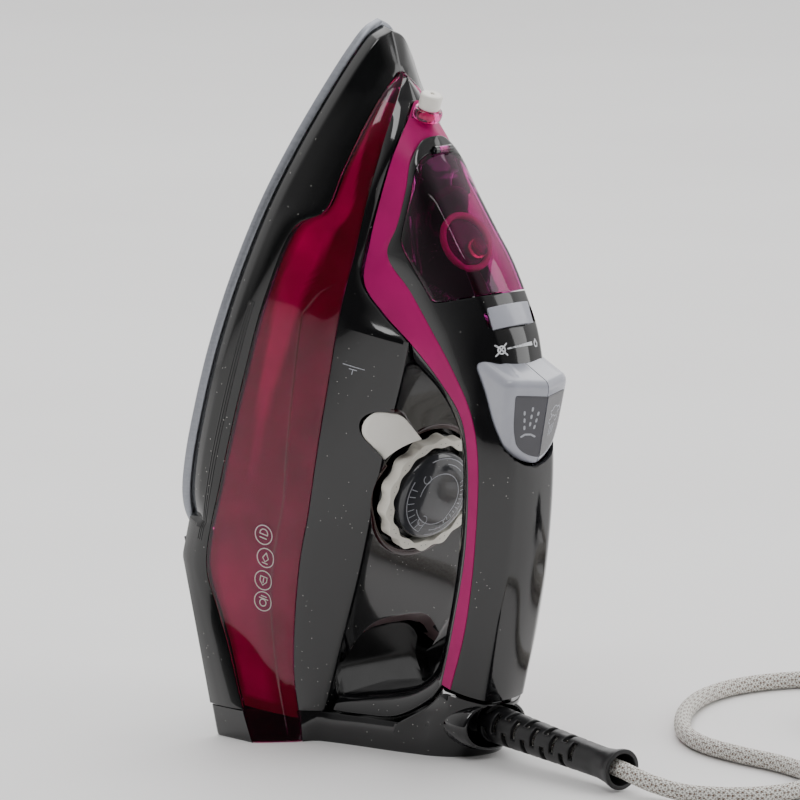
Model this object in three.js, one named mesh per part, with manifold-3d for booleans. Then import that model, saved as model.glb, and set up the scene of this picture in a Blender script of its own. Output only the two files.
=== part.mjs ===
// A steam iron standing on its heel, with its mains lead laid on the table.
// Millimetres, +Z up. The origin is on the floor under the middle of the iron.
//
// Two frames are used. The floor frame is the part's own. The iron frame leans
// by LEAN towards the handle: its Z runs along the soleplate to the tip ("along"),
// its X is the height above the soleplate ("high"), and its Y is across.
import * as THREE from "three";
import { mergeVertices } from "three/addons/utils/BufferGeometryUtils.js";
import Module from "manifold-3d";

const wasm = await Module();
wasm.setup();

// ---------------------------------------------------------------- driving sizes
const LEAN = THREE.MathUtils.degToRad(15.5);
const FOOT_X = 104.75; // from the sole plane's line on the floor to the origin
const GAP = 0.4; // between neighbouring covers
const HEEL_TOP = 12.5; // height of the heel cover's seam above the floor

const SOLE_THICK = 2.4;
const SOLE_REAR = 85;
const REAR_SLOPE = 0.62; // rise of the rear underside for each mm behind the sole
const WALL = 2.2;
const DIAL = { along: 131, well: 28.6, ring: 25.2, dome: 19, top: 90 };
const BUTTON = { front: 204, rear: 167, wide: 17, high: 138 };
const HINGE = { along: 270.2, high: 52.8, barrel: 1.7, half: 2.4, reach: 4.6 };
const SLIDER = { along: 221, high: 111.5, radius: 22.4, long: 9, wideDeg: 44, midDeg: -9 };
const VALVE_ALONG = 213;
const PUMP = { along: 192, across: 9, low: 96, long: 14 };
const CORD_R = 3.5;
const BALL = { x: 139, z: 15, radius: 8.2 };
const GUARD = { from: [153, -0.6, 14.2], to: [238.5, -8, 9.1], mouth: 8.6 };
const COIL = { x: 232, y: 178, inner: 31, outer: 45, height: 14.2 };

// ---------------------------------------------------------------- materials
const finish = (color, roughness, metalness = 0) =>
  new THREE.MeshStandardMaterial({ color, roughness, metalness });
const BLACK = finish(0x17171a, 0.18);
const DARK = finish(0x26262a, 0.55);
const MAGENTA = finish(0xa82070, 0.4);
const BURGUNDY = finish(0x6a1236, 0.15);
const REFLECTOR = finish(0xc02080, 0.35);
const PLUM = finish(0x3a0c2c, 0.1);
const GREY = finish(0xb4b6c0, 0.35);
const SMOKE = finish(0x4a4a54, 0.25);
const IVORY = finish(0xd8d4c8, 0.5);
const WHITE = finish(0xf2f0ea, 0.45);
const STEEL = finish(0xa8acb2, 0.3, 0.9);
const ALUMINIUM = finish(0x8d9298, 0.45, 0.8);
const BRASS = finish(0xb89a50, 0.35, 0.9);
const RUBBER = finish(0x1a1a1a, 0.8);
const SILICONE = finish(0xb0503a, 0.7);
const CLEAR = finish(0xc8c8cc, 0.2);
const BRAID = finish(0xd8d2c6, 0.85);

// ---------------------------------------------------------------- small helpers
const at = (along, across, high) => new THREE.Vector3(high, across, along);
const lerp = (a, b, t) => a + (b - a) * t;

/** A closed mesh with its faces pointing out, from points and triangles. */
function closed(points, triangles) {
  let volume = 0;
  for (const [a, b, c] of triangles) {
    volume += points[a].dot(points[b].clone().cross(points[c]));
  }
  const order = volume > 0 ? [0, 1, 2] : [0, 2, 1];
  const geometry = new THREE.BufferGeometry();
  const flat = points.flatMap((p) => [p.x, p.y, p.z]);
  geometry.setAttribute("position", new THREE.Float32BufferAttribute(flat, 3));
  geometry.setIndex(triangles.flatMap((t) => order.map((k) => t[k])));
  geometry.computeVertexNormals();
  return geometry;
}

function toSolid(geometry) {
  const bare = geometry.clone();
  for (const name of Object.keys(bare.attributes)) {
    if (name !== "position") bare.deleteAttribute(name);
  }
  const merged = mergeVertices(bare, 1e-4);
  const vertProperties = new Float32Array(merged.attributes.position.array);
  const triVerts = new Uint32Array(merged.index.array);
  return new wasm.Manifold(new wasm.Mesh({ numProp: 3, vertProperties, triVerts }));
}

function toGeometry(solid) {
  const mesh = solid.getMesh();
  const geometry = new THREE.BufferGeometry();
  geometry.setAttribute("position", new THREE.BufferAttribute(mesh.vertProperties, 3));
  geometry.setIndex(new THREE.BufferAttribute(mesh.triVerts, 1));
  return geometry;
}

const subtract = (body, ...tools) =>
  toGeometry(tools.reduce((solid, tool) => solid.subtract(toSolid(tool)), toSolid(body)));
const intersect = (body, tool) => toGeometry(toSolid(body).intersect(toSolid(tool)));
const join = (...parts) =>
  toGeometry(parts.slice(1).reduce((solid, part) => solid.add(toSolid(part)), toSolid(parts[0])));

/** The largest of the bodies that a cut left. */
function largest(geometry) {
  const bodies = toSolid(geometry).decompose();
  bodies.sort((a, b) => b.volume() - a.volume());
  return toGeometry(bodies[0]);
}

/** A row of points joined to the next: rings are closed loops, ends are fans. */
function loft(rings) {
  const size = rings[0].length;
  const points = rings.flat();
  const triangles = [];
  for (let i = 0; i + 1 < rings.length; i++) {
    for (let j = 0; j < size; j++) {
      const a = i * size + j;
      const b = i * size + ((j + 1) % size);
      triangles.push([a, b, a + size], [b, b + size, a + size]);
    }
  }
  for (const [start, flip] of [[0, true], [(rings.length - 1) * size, false]]) {
    for (let j = 1; j + 1 < size; j++) {
      const fan = [start, start + j, start + j + 1];
      triangles.push(flip ? fan.reverse() : fan);
    }
  }
  return closed(points, triangles);
}

/** A cover: rows of outer points, each with a point inside that it thickens towards. */
function cover(rows, centres, thick) {
  const across = rows[0].length;
  const outer = rows.map((row) => row.map((p) => p.clone()));
  for (const row of outer) {
    pull(row[0], row[1], GAP / 2);
    pull(row[across - 1], row[across - 2], GAP / 2);
  }
  const inner = outer.map((row, i) =>
    row.map((p) => p.clone().addScaledVector(centres[i].clone().sub(p).normalize(), thick))
  );
  const points = [...outer.flat(), ...inner.flat()];
  const half = points.length / 2;
  const triangles = [];
  const quad = (a, b, c, d) => triangles.push([a, b, c], [a, c, d]);
  const last = rows.length - 1;
  for (let i = 0; i < last; i++) {
    for (let j = 0; j + 1 < across; j++) {
      const a = i * across + j;
      quad(a, a + 1, a + across + 1, a + across);
      quad(half + a, half + a + across, half + a + across + 1, half + a + 1);
    }
    const left = i * across;
    const right = left + across - 1;
    quad(left, left + across, half + left + across, half + left);
    quad(right, half + right, half + right + across, right + across);
  }
  for (let j = 0; j + 1 < across; j++) {
    const low = j;
    const high = last * across + j;
    quad(low, half + low, half + low + 1, low + 1);
    quad(high, high + 1, half + high + 1, half + high);
  }
  return closed(points, triangles);
}

function pull(point, towards, distance) {
  point.addScaledVector(towards.clone().sub(point).normalize(), distance);
}

/** A smooth line through key points [along, across, high]. */
const through = (keys) =>
  new THREE.CatmullRomCurve3(keys.map((k) => at(...k)), false, "centripetal");

/** The point of a line that runs steadily along the iron, at one "along". */
function pointAt(line, along) {
  let low = 0;
  let high = 1;
  const rising = line.getPoint(1).z > line.getPoint(0).z;
  for (let k = 0; k < 34; k++) {
    const middle = (low + high) / 2;
    if (line.getPoint(middle).z < along === rising) low = middle;
    else high = middle;
  }
  return line.getPoint(low);
}

const mirrored = (point) => new THREE.Vector3(point.x, -point.y, point.z);

/** Extrudes an outline of [along, across] points from one height to another. */
function plate(outline, low, high, holes = []) {
  const points = outline.map(([a, y]) => new THREE.Vector2(a, -y));
  if (THREE.ShapeUtils.isClockWise(points)) points.reverse();
  const shape = new THREE.Shape(points);
  for (const hole of holes) {
    shape.holes.push(new THREE.Path(hole.map(([a, y]) => new THREE.Vector2(a, -y))));
  }
  const geometry = new THREE.ExtrudeGeometry(shape, { depth: high - low, bevelEnabled: false });
  const turn = new THREE.Matrix4().set(0, 0, 1, 0, 0, -1, 0, 0, 1, 0, 0, 0, 0, 0, 0, 1);
  return geometry.applyMatrix4(turn).translate(low, 0, 0);
}

/** Extrudes a side view of [along, high] points from one "across" to another. */
function slab(outline, left, right) {
  const shape = new THREE.Shape(outline.map(([a, h]) => new THREE.Vector2(a, h)));
  const geometry = new THREE.ExtrudeGeometry(shape, { depth: right - left, bevelEnabled: false });
  const turn = new THREE.Matrix4().set(0, 1, 0, 0, 0, 0, 1, 0, 1, 0, 0, 0, 0, 0, 0, 1);
  return geometry.applyMatrix4(turn).translate(0, left, 0);
}

/** A round bar standing up from the soleplate. */
function bar(radius, low, high, along, across = 0, sides = 20, topRadius = radius) {
  const geometry = new THREE.CylinderGeometry(topRadius, radius, high - low, sides);
  return geometry.rotateZ(-Math.PI / 2).translate((low + high) / 2, across, along);
}

/** A turned piece on an axis that stands up from the soleplate. */
function turned(profile, along, across = 0, sides = 28) {
  const points = profile.map(([r, h]) => new THREE.Vector2(r, h));
  return new THREE.LatheGeometry(points, sides).rotateZ(-Math.PI / 2).translate(0, across, along);
}

/** A round section carried along a line. */
function tube(points, radius, sides, steps) {
  const section = new THREE.Shape();
  section.absarc(0, 0, radius, 0, 2 * Math.PI);
  const round = new THREE.Shape(section.getPoints(sides).slice(0, sides));
  const path = new THREE.CatmullRomCurve3(points, false, "centripetal");
  return new THREE.ExtrudeGeometry(round, { extrudePath: path, steps, bevelEnabled: false });
}

const circle = (along, across, radius, count) =>
  Array.from({ length: count }, (_, k) => {
    const turn = (2 * Math.PI * k) / count;
    return [along + radius * Math.cos(turn), across + radius * Math.sin(turn)];
  });

/** Everything above a level plane of the floor frame, as a tool in the iron frame. */
function aboveFloor(level) {
  const box = new THREE.BoxGeometry(500, 300, 500).translate(100, 0, level + 250);
  return box.applyMatrix4(new THREE.Matrix4().makeRotationY(-LEAN));
}

const trimmed = (geometry) => intersect(geometry, aboveFloor(HEEL_TOP + GAP));

const iron = new THREE.Group();
iron.rotation.y = LEAN;
iron.position.x = -FOOT_X;
const floor = new THREE.Group();
floor.position.x = -FOOT_X;

function add(group, name, geometry, material) {
  const mesh = new THREE.Mesh(geometry, material);
  mesh.name = name;
  group.add(mesh);
  return mesh;
}

// ---------------------------------------------------------------- guide lines
// Left side, from the heel or the tip, as [along, across, high].
const SOLE_SIDE = [
  [85, -40], [86, -46], [89, -51.5], [95, -56], [104, -59.5], [120, -61.5], [143, -61.5],
  [167, -60], [191, -56.5], [213, -51.5], [234, -45], [255, -36], [278, -24], [297, -12.5],
  [305, -6], [308, 0],
];
const bandLow = through([
  [0, -57, 84], [20, -56.5, 66], [35, -55.5, 52], [50, -54.5, 40], [62, -54.5, 30],
  [78, -56, 20], [117, -57, 20], [162, -55, 20], [200, -51, 20], [229, -43.5, 22],
  [238, -37, 30], [255, -29, 28], [273, -18.5, 25], [285, -9, 22.5], [292, 0, 20.5],
]);
const bandHigh = through([
  [0, -41, 86], [25, -40, 77], [50, -40.5, 66], [95, -44.5, 62], [118, -45, 62],
  [141, -44.5, 60], [176, -41, 55], [205, -37, 50], [224, -31.5, 46], [243, -24.5, 40],
  [268, -16.5, 35], [284, -6.5, 28], [292, 0, 22.5],
]);
const stripeLow = through([
  [284, 0, 32.5], [278, -7, 37], [264.5, -16.5, 42], [246, -20.5, 43.5], [229, -25, 47],
  [214, -28.5, 52], [205, -25.5, 63], [198, -23, 79], [189, -20.5, 96], [179, -20, 112],
  [165, -20, 120], [130, -20, 129], [96, -20, 131], [68, -20, 131],
]);
const stripeHigh = through([
  [274, 0, 47.5], [270.5, -7.5, 46.5], [265.5, -12.5, 48.5], [254, -16.5, 53], [240, -19.5, 55],
  [227.5, -22, 55], [217.5, -21, 71], [206, -20.5, 88], [197, -20.3, 101], [183, -20, 117],
  [167, -20, 126], [130, -20, 134.5], [96, -20, 138], [68, -20, 136.5],
]);
const facet = through([
  [274.2, 0, 47.7], [271, -5, 49.5], [266, -8.5, 54], [256, -11, 66], [245, -12, 80.5],
  [237, -12.5, 91.5], [227.5, -12.5, 102], [215, -12.5, 113.5], [204.5, -12, 120],
  [189, -11.5, 128.5], [170, -11, 137], [130, -11, 145], [96, -11, 147], [66.5, -11, 147.5],
]);
const crest = through([
  [274.4, 0, 47.9], [271.3, 0, 51], [266.5, 0, 56.5], [257, 0, 69.5], [246, 0, 84],
  [238, 0, 95.5], [229, 0, 105], [217, 0, 116], [206, 0, 122.5], [190, 0, 130.5],
  [170, 0, 139], [130, 0, 147], [96, 0, 149], [66, 0, 149.6],
]);
const KEYS = 13;

// ---------------------------------------------------------------- soleplate group
const soleSide = new THREE.CatmullRomCurve3(
  SOLE_SIDE.map(([a, y]) => at(a, y, 0)), false, "centripetal"
);

/** The soleplate's outline, drawn in by a margin or scaled about a middle point. */
function soleOutline(scale = 1, middle = 165, steps = 22, inset = 0) {
  const side = Array.from({ length: steps + 1 }, (_, k) => {
    const p = soleSide.getPoint(k / steps);
    return [middle + (p.z - middle) * scale, Math.min(0, (p.y + inset) * scale)];
  });
  const other = side.slice(0, -1).reverse().map(([a, y]) => [a, -y]);
  return [...side, ...other];
}

function steamVents() {
  const vents = [];
  for (let k = 0; k < 7; k++) {
    const along = 275 - 24 * k;
    const across = pointAt(soleSide, along).y * -0.62;
    vents.push(circle(along, across, 1.8, 8), circle(along, -across, 1.8, 8));
  }
  return vents;
}

function soleplateGroup() {
  add(iron, "soleplate", plate(soleOutline(1, 165, 30), 0, SOLE_THICK, steamVents()), STEEL);
  const chamber = soleOutline(0.46, 175, 14);
  const casting = subtract(plate(soleOutline(0.84, 170, 18), 2.8, 12.6), plate(chamber, 5.4, 20));
  add(iron, "heater_casting", casting, ALUMINIUM);
  const gasketHole = soleOutline(0.46, 175, 12);
  add(iron, "chamber_gasket", plate(soleOutline(0.53, 175, 12), 12.9, 13.9, [gasketHole]), SILICONE);
  const inlets = [circle(VALVE_ALONG, 0, 2.6, 10), circle(PUMP.along, PUMP.across, 2.2, 8)];
  add(iron, "steam_chamber_cover", plate(soleOutline(0.53, 175, 12), 14.2, 15.8, inlets), ALUMINIUM);
  const loop = [];
  for (let k = -8; k <= 8; k++) {
    const p = soleSide.getPoint(lerp(1, 0.16, Math.abs(k) / 8));
    loop.push(at(170 + (p.z - 170) * 0.68, Math.sign(k || 1) * Math.abs(p.y) * 0.68, 16.2));
  }
  add(iron, "heating_element", tube(loop, 3.1, 8, 30), STEEL);
  const stat = subtract(plate(circle(DIAL.along, 0, 9.5, 16), 16.2, 20.4), bar(2, 10, 30, DIAL.along));
  add(iron, "thermostat", stat, BRASS);
  add(iron, "thermal_fuse", bar(3, 16.2, 20, 108, 10, 12), WHITE);
}

// ---------------------------------------------------------------- skirt and bands
/** The point that the lower covers thicken towards, which lags behind at the nose. */
const core = (along) => at(Math.min(along, 258), 0, 24);

const BAND_STATIONS = [
  4, 18, 32, 48, 62, 78, 98, 128, 160, 190, 212, 229, 233.5, 238, 250, 264, 276, 284, 289,
];

/** The skirt runs round the nose from heel to heel under the bands. */
function skirt() {
  const rows = [];
  for (const along of BAND_STATIONS.slice(0, -1)) {
    const top = pointAt(bandLow, along);
    const under = (SOLE_REAR - along) * REAR_SLOPE;
    const foot = along < 95
      ? at(along, lerp(-57, -56.5, along / 95), Math.max(under, 3.4))
      : at(along, pointAt(soleSide, along).y + 1.2, 3.4);
    rows.push([foot, between(foot, top, 0.35, 0.8), between(foot, top, 0.7, 0.6), top]);
  }
  for (const [along, across] of [[297, -11.5], [304, -5.5], [306.8, 0]]) {
    const foot = at(along, across, 3.4);
    const share = (along - 297) / 10;
    const top = at(lerp(289, 292, share), across * 0.35, lerp(21.6, 20.6, share));
    rows.push([foot, between(foot, top, 0.35, 0.5), between(foot, top, 0.7, 0.4), top]);
  }
  const all = [...rows, ...rows.slice(0, -1).reverse().map((row) => row.map(mirrored))];
  return trimmed(cover(all, all.map((row) => core(row[3].z)), WALL));
}

/** A point part of the way between two, pushed outwards a little. */
function between(a, b, t, bulge) {
  const p = a.clone().lerp(b, t);
  p.y += Math.sign(p.y || 0) * bulge;
  p.x += bulge * 0.3;
  return p;
}

function band(thick, depth, from, to, highShare) {
  const stations = BAND_STATIONS.filter((s) => s >= from && s <= to);
  const rows = stations.map((along) => {
    const low = pointAt(bandLow, along);
    const high = pointAt(bandHigh, along);
    const centre = core(along);
    const row = [low, between(low, high, 0.33, 1.1), between(low, high, 0.67, 1.1), high];
    if (depth === 0) return row;
    const slim = [row[0].clone().lerp(high, 0.1), row[1], row[2], low.clone().lerp(high, highShare)];
    return slim.map((p) => p.clone().addScaledVector(centre.clone().sub(p).normalize(), depth));
  });
  return cover(rows, stations.map(core), thick);
}

const flipped = (geometry) => {
  const solid = toSolid(geometry);
  return toGeometry(solid.mirror([0, 1, 0]));
};

function lowerCovers() {
  add(iron, "skirt", skirt(), BLACK);
  const run = (84 - 10) / Math.cos(Math.atan(REAR_SLOPE));
  const panel = new THREE.BoxGeometry(2.2, 108, run);
  panel.translate(1.4, 0, run / 2);
  panel.rotateY(-(Math.PI / 2 - Math.atan(1 / REAR_SLOPE)));
  panel.translate((SOLE_REAR - 9) * REAR_SLOPE, 0, 9);
  add(iron, "rear_underside", trimmed(panel), DARK);
  const wing = trimmed(band(1.8, 0, 0, 289, 1));
  add(iron, "side_band_left", wing, BURGUNDY);
  add(iron, "side_band_right", flipped(wing), BURGUNDY);
  const inner = trimmed(band(1, 2.6, 18, 264, 0.86));
  add(iron, "band_reflector_left", inner, REFLECTOR);
  add(iron, "band_reflector_right", flipped(inner), REFLECTOR);
}

// ---------------------------------------------------------------- tank
const shoulderRear = through([
  [0, -34, 81], [30, -33, 80], [60, -29, 79], [101, -25.5, 78.5], [150, -25, 78.5],
  [186, -24, 78.8], [200, -23.5, 78],
]);

function hoodShoulder(along) {
  if (along > 198) {
    const p = pointAt(stripeLow, Math.min(along, 283.9));
    p.x -= 0.5;
    return p;
  }
  return pointAt(shoulderRear, along);
}

function hoodRow(along) {
  const low = pointAt(bandHigh, along);
  const top = hoodShoulder(along);
  const bowl = THREE.MathUtils.clamp(Math.min((67 - along) / 5, (along - 36) / 16), 0, 1);
  const drop = along > 198 ? 1.2 : 7 * bowl;
  const side = [low, between(low, top, 0.5, 0.7), top, at(along, top.y * 0.72, top.x - drop)];
  return [...side, at(along, 0, top.x - drop), ...side.map(mirrored).reverse()];
}

function hood() {
  const stations = [
    4, 20, 36, 52, 62, 67, 98, 130, 164, 186, 197.5, 200, 205, 209, 214, 221, 229, 238, 250, 262,
    272, 278, 282,
  ];
  const rows = stations.map(hoodRow);
  for (const along of [285, 288.5]) {
    const low = pointAt(bandHigh, along);
    const ridge = lerp(32, 25, (along - 284) / 7);
    const step = (t) => at(along, low.y * t, lerp(ridge, low.x, t * t));
    const side = [low, step(0.75), step(0.5), step(0.25)];
    rows.push([...side, at(along, 0, ridge), ...side.map(mirrored).reverse()]);
  }
  return trimmed(cover(rows, rows.map((row) => core(row[0].z)), WALL));
}

const pointerOutline = () => {
  const outline = [];
  const turn = THREE.MathUtils.degToRad(-42);
  const place = (u, v) => [
    DIAL.along + u * Math.cos(turn) - v * Math.sin(turn),
    u * Math.sin(turn) + v * Math.cos(turn),
  ];
  for (let k = 0; k <= 6; k++) {
    const a = lerp(-0.31, 0.31, k / 6);
    outline.push(place(29.8 * Math.cos(a), 29.8 * Math.sin(a)));
  }
  for (let k = 0; k <= 8; k++) {
    const a = lerp(Math.PI / 2, -Math.PI / 2, k / 8);
    outline.push(place(38.5 + 8 * Math.cos(a), 8 * Math.sin(a)));
  }
  return outline;
};

const grown = (outline, by) => {
  const count = outline.length;
  const [a, b] = outline.reduce((sum, [x, y]) => [sum[0] + x / count, sum[1] + y / count], [0, 0]);
  return outline.map(([x, y]) => {
    const scale = 1 + by / Math.hypot(x - a, y - b);
    return [a + (x - a) * scale, b + (y - b) * scale];
  });
};

function tankGroup() {
  const well = bar(DIAL.well, 40, 120, DIAL.along, 0, 40);
  const lens = plate(grown(pointerOutline(), 0.5), 50, 100);
  const neck = bar(6.6, 20, 90, 246, 0, 20);
  const valve = bar(2.6, 20, 90, VALVE_ALONG, 0, 12);
  const hose = bar(3, 30, 100, PUMP.along, PUMP.across, 12);
  const nozzle = nozzleBore();
  add(iron, "tank_hood", subtract(hood(), well, lens, neck, valve, hose, nozzle), BLACK);

  const trayHalf = (along) => Math.max(8, -pointAt(bandHigh, along).y - 8);
  const trayStations = [60, 100, 150, 190, 214, 236];
  const trayOutline = (shrink) => {
    const side = trayStations.map((along, k) => {
      const end = k === 0 ? shrink : k === trayStations.length - 1 ? -shrink : 0;
      return [along + end, -(trayHalf(along) - shrink)];
    });
    return [...side, ...side.slice().reverse().map(([a, y]) => [a, -y])];
  };
  const box = plate(trayOutline(0), 22.5, 38);
  const sleeves = join(bar(7, 22.5, 38, DIAL.along), bar(4.4, 22.5, 38, VALVE_ALONG, 0, 12));
  const hollow = join(subtract(box, plate(trayOutline(1.8), 24.4, 50)), sleeves);
  const bores = [
    bar(5, 0, 60, DIAL.along), bar(2.6, 0, 60, VALVE_ALONG, 0, 12),
    bar(3, 0, 60, PUMP.along, PUMP.across, 12),
  ];
  add(iron, "tank_tray", subtract(hollow, ...bores), DARK);
  add(iron, "tank_seal", plate(trayOutline(0.2), 38.3, 39.7, [trayOutline(1.6)]), SILICONE);
  const funnel = subtract(
    join(bar(6.1, 28, 56, 246, 0, 20), bar(6.1, 56, 62, 246, 0, 20, 10.5)),
    join(bar(4.9, 20, 56.2, 246, 0, 20), bar(4.9, 56, 64, 246, 0, 20, 10.2))
  );
  add(iron, "filler_funnel", funnel, REFLECTOR);
}

// ---------------------------------------------------------------- dial
function dialGroup() {
  const well = DIAL.well - 0.4;
  const bezel = [
    [4, 70], [well, 70], [well, 81], [well - 0.9, 81.8], [well - 1.8, 81], [well - 1.8, 71.6],
    [4, 71.6], [4, 70],
  ];
  add(iron, "dial_bezel", turned(bezel, DIAL.along), DARK);
  add(iron, "dial_spindle", bar(1.7, 21, 71.4, DIAL.along, 0, 12), STEEL);
  const base = [[0, 72.2], [24.4, 72.2], [24.8, 72.8], [24.8, 79], [24.2, 79.6], [0, 79.6]];
  add(iron, "dial_base", turned(base, DIAL.along), BLACK);
  const lobes = 14;
  const rim = Array.from({ length: lobes * 4 }, (_, k) => {
    const a = (2 * Math.PI * k) / (lobes * 4);
    const r = DIAL.ring - 0.55 + 0.55 * Math.cos(a * lobes);
    return [DIAL.along + r * Math.cos(a), r * Math.sin(a)];
  });
  const ring = plate(rim, 79.9, 85.6, [circle(DIAL.along, 0, DIAL.dome + 0.5, 28)]);
  add(iron, "dial_ring", ring, IVORY);
  const dome = [
    [0, 79.9], [DIAL.dome, 79.9], [DIAL.dome, 86], [18, 87.3], [13, 88.9], [7, 89.7], [0, DIAL.top],
  ];
  add(iron, "dial_cap", turned(dome, DIAL.along), SMOKE);
  const lensBody = plate(pointerOutline(), 62, 90);
  const lensSkin = slab([[120, 0], [190, 0], [190, 2.2], [120, 2.2]], -22, 22)
    .rotateZ(THREE.MathUtils.degToRad(-31)).translate(74.5, -29.5, 0);
  add(iron, "pointer_lens", intersect(lensBody, lensSkin), WHITE);
  add(iron, "pilot_lamp", bar(2.6, 58, 66, 158, -25, 12), CLEAR);
}

// ---------------------------------------------------------------- handle and front housing
const rowOf = (lines, k) => lines.map((line) => line.getPoint(k / KEYS));
const handleCentre = (key) => {
  const k = Math.max(key, 2.6);
  const top = crest.getPoint(k / KEYS);
  const low = stripeLow.getPoint(k / KEYS);
  return at(lerp(top.z, low.z, 0.45), 0, lerp(top.x, low.x, 0.45));
};

function steps(from, to, size) {
  const count = Math.round(Math.abs(to - from) / size);
  return Array.from({ length: count + 1 }, (_, k) => lerp(from, to, k / count));
}

const STRIP_KEYS = [...steps(0.5, 12.5, 0.5), KEYS - 0.02];

function topShell() {
  const ks = STRIP_KEYS;
  const rows = ks.map((k) => {
    const [edge, corner, top] = rowOf([stripeHigh, facet, crest], k);
    const mid = edge.clone().lerp(corner, 0.5);
    const bulge = mid.clone().sub(handleCentre(k)).normalize().multiplyScalar(k < 9 ? 2.2 : 1.2);
    const side = [edge, mid.add(bulge), corner];
    return [...side, top, ...side.map(mirrored).reverse()];
  });
  return cover(rows, ks.map(handleCentre), WALL);
}

/** The magenta strip runs from the heel round the nose and back to the heel. */
function trimStrip() {
  const ks = STRIP_KEYS.slice().reverse();
  const left = ks.map((k) => {
    const [low, high] = rowOf([stripeLow, stripeHigh], k);
    return [low, low.clone().lerp(high, 0.5), high];
  });
  const nose = rowOf([stripeLow, stripeHigh], 0);
  const middle = [nose[0], nose[0].clone().lerp(nose[1], 0.5), nose[1]];
  const rows = [...left, middle, ...left.slice().reverse().map((row) => row.map(mirrored))];
  const centres = [...ks, 0, ...ks.slice().reverse()].map(handleCentre);
  return cover(rows, centres, 1.9);
}

// Inner skin of the handle, from the front column round the finger opening to the
// heel: the corner and the middle of its underside at keys 7 to 17. Its edge is the
// strip's low edge as far as key 13, and HEEL_EDGE after it.
const CORNER = through([
  [187.5, -18, 80.6], [181.5, -16, 95], [171, -16, 109], [161, -16, 114], [126.5, -16, 121.5],
  [93, -16, 124], [72, -16, 122.5], [61.5, -17.5, 116], [53, -20, 103], [47, -23.5, 90],
  [43, -26.5, 81.6],
]);
const MIDDLE = through([
  [184.5, 0, 80.2], [179, 0, 93], [169, 0, 106], [160, 0, 111], [126, 0, 118.5],
  [92.5, 0, 121], [73, 0, 119.5], [63, 0, 113], [55, 0, 101], [49, 0, 89], [45, 0, 80.6],
]);
const HEEL_EDGE = through([
  [68, -20, 131], [60, -21, 126.5], [47.5, -25, 114], [41.2, -29, 97], [37.5, -32, 84],
]);
const HEEL_CORE = through([
  [67, 0, 139], [50, 0, 135], [38, 0, 118], [30, 0, 105], [26, 0, 97],
]);

function innerSkin() {
  const ks = [7.04, ...STRIP_KEYS.filter((k) => k > 7.1), ...steps(13.5, 17, 0.5)];
  const rows = ks.map((k) => {
    const share = (k - 7) / 10;
    const corner = CORNER.getPoint(share);
    const middle = MIDDLE.getPoint(share);
    const edge = k <= KEYS ? stripeLow.getPoint(k / KEYS) : HEEL_EDGE.getPoint((k - KEYS) / 4);
    const fold = edge.clone().lerp(corner, 0.55);
    fold.y -= 1;
    const side = [edge, fold, corner, corner.clone().lerp(middle, 0.5)];
    return [...side, middle, ...side.map(mirrored).reverse()];
  });
  const centres = ks.map((k) => (k <= KEYS ? handleCentre(k) : HEEL_CORE.getPoint((k - KEYS) / 4)));
  return trimmed(cover(rows, centres, WALL));
}

const LID_SIDE = [
  [275, 53], [269.5, 51], [260.5, 54.2], [252, 56.6], [236.5, 58.6], [233, 60.5],
  [217.5, 83.5], [218, 86], [229.8, 107.5], [245, 130], [300, 80],
];

/** A bar on the lid's hinge axis, between two places across. */
function hingeBar(radius, left, right, sides = 16) {
  const geometry = new THREE.CylinderGeometry(radius, radius, right - left, sides);
  return geometry.translate(HINGE.high, (left + right) / 2, HINGE.along);
}

/** The lid is cut from the top shell and hangs on a barrel between the shell's two lugs. */
function lidAndShell() {
  const shell = topShell();
  const { barrel, half, reach } = HINGE;
  const clear = barrel + 0.4;
  const gap = 0.3;
  const bore = hingeBar(1.0, -reach - 1, reach + 1);
  const opening = slab(LID_SIDE, -40, 40);
  const pocket = plate(buttonPlan(0.5), 60, 170);
  const slot = slab(sliderSlot(), -13, 13);
  const cut = subtract(shell, opening, pocket, slot, hingeBar(clear, -half - gap, half + gap));
  const lugs = [hingeBar(barrel, -reach, -half - gap), hingeBar(barrel, half + gap, reach)];
  add(iron, "handle_top_shell", subtract(join(cut, ...lugs), bore), BLACK);

  const middle = { along: 243, high: 78, share: 0.018 };
  const inset = LID_SIDE.map(([a, h], k) => {
    if (k === 0 || k > 8) return [a, h];
    return [lerp(a, middle.along, middle.share), lerp(h, middle.high, middle.share)];
  });
  inset[8] = [230, 106.9];
  const skin = intersect(shell, slab(inset, -40, 40));
  const notches = [hingeBar(clear, -reach - gap, -half), hingeBar(clear, half, reach + gap)];
  const lid = join(subtract(skin, ...notches), hingeBar(barrel, -half, half));
  add(iron, "filler_lid", subtract(lid, bore), PLUM);
  add(iron, "lid_hinge_pin", hingeBar(0.7, -reach + 0.2, reach - 0.2), STEEL);
}

function handleGroup() {
  lidAndShell();
  add(iron, "trim_strip", largest(subtract(trimStrip(), nozzleBore())), MAGENTA);
  add(iron, "handle_inner_skin", innerSkin(), BLACK);
}

// ---------------------------------------------------------------- buttons, pumps, slider
/** Half-round ended plan of the button pair, drawn out by a margin. */
function buttonPlan(margin) {
  const { front, rear, wide } = BUTTON;
  const side = [[front + margin, wide + margin], [lerp(front, rear, 0.6), wide - 1.5 + margin]];
  for (let k = 0; k <= 5; k++) {
    const a = lerp(0.35, Math.PI / 2, k / 5);
    side.push([rear - margin + 12 - 12 * Math.sin(a), (wide - 2.5 + margin) * Math.cos(a)]);
  }
  return [...side, ...side.slice(0, -1).reverse().map(([a, y]) => [a, -y])];
}

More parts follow.
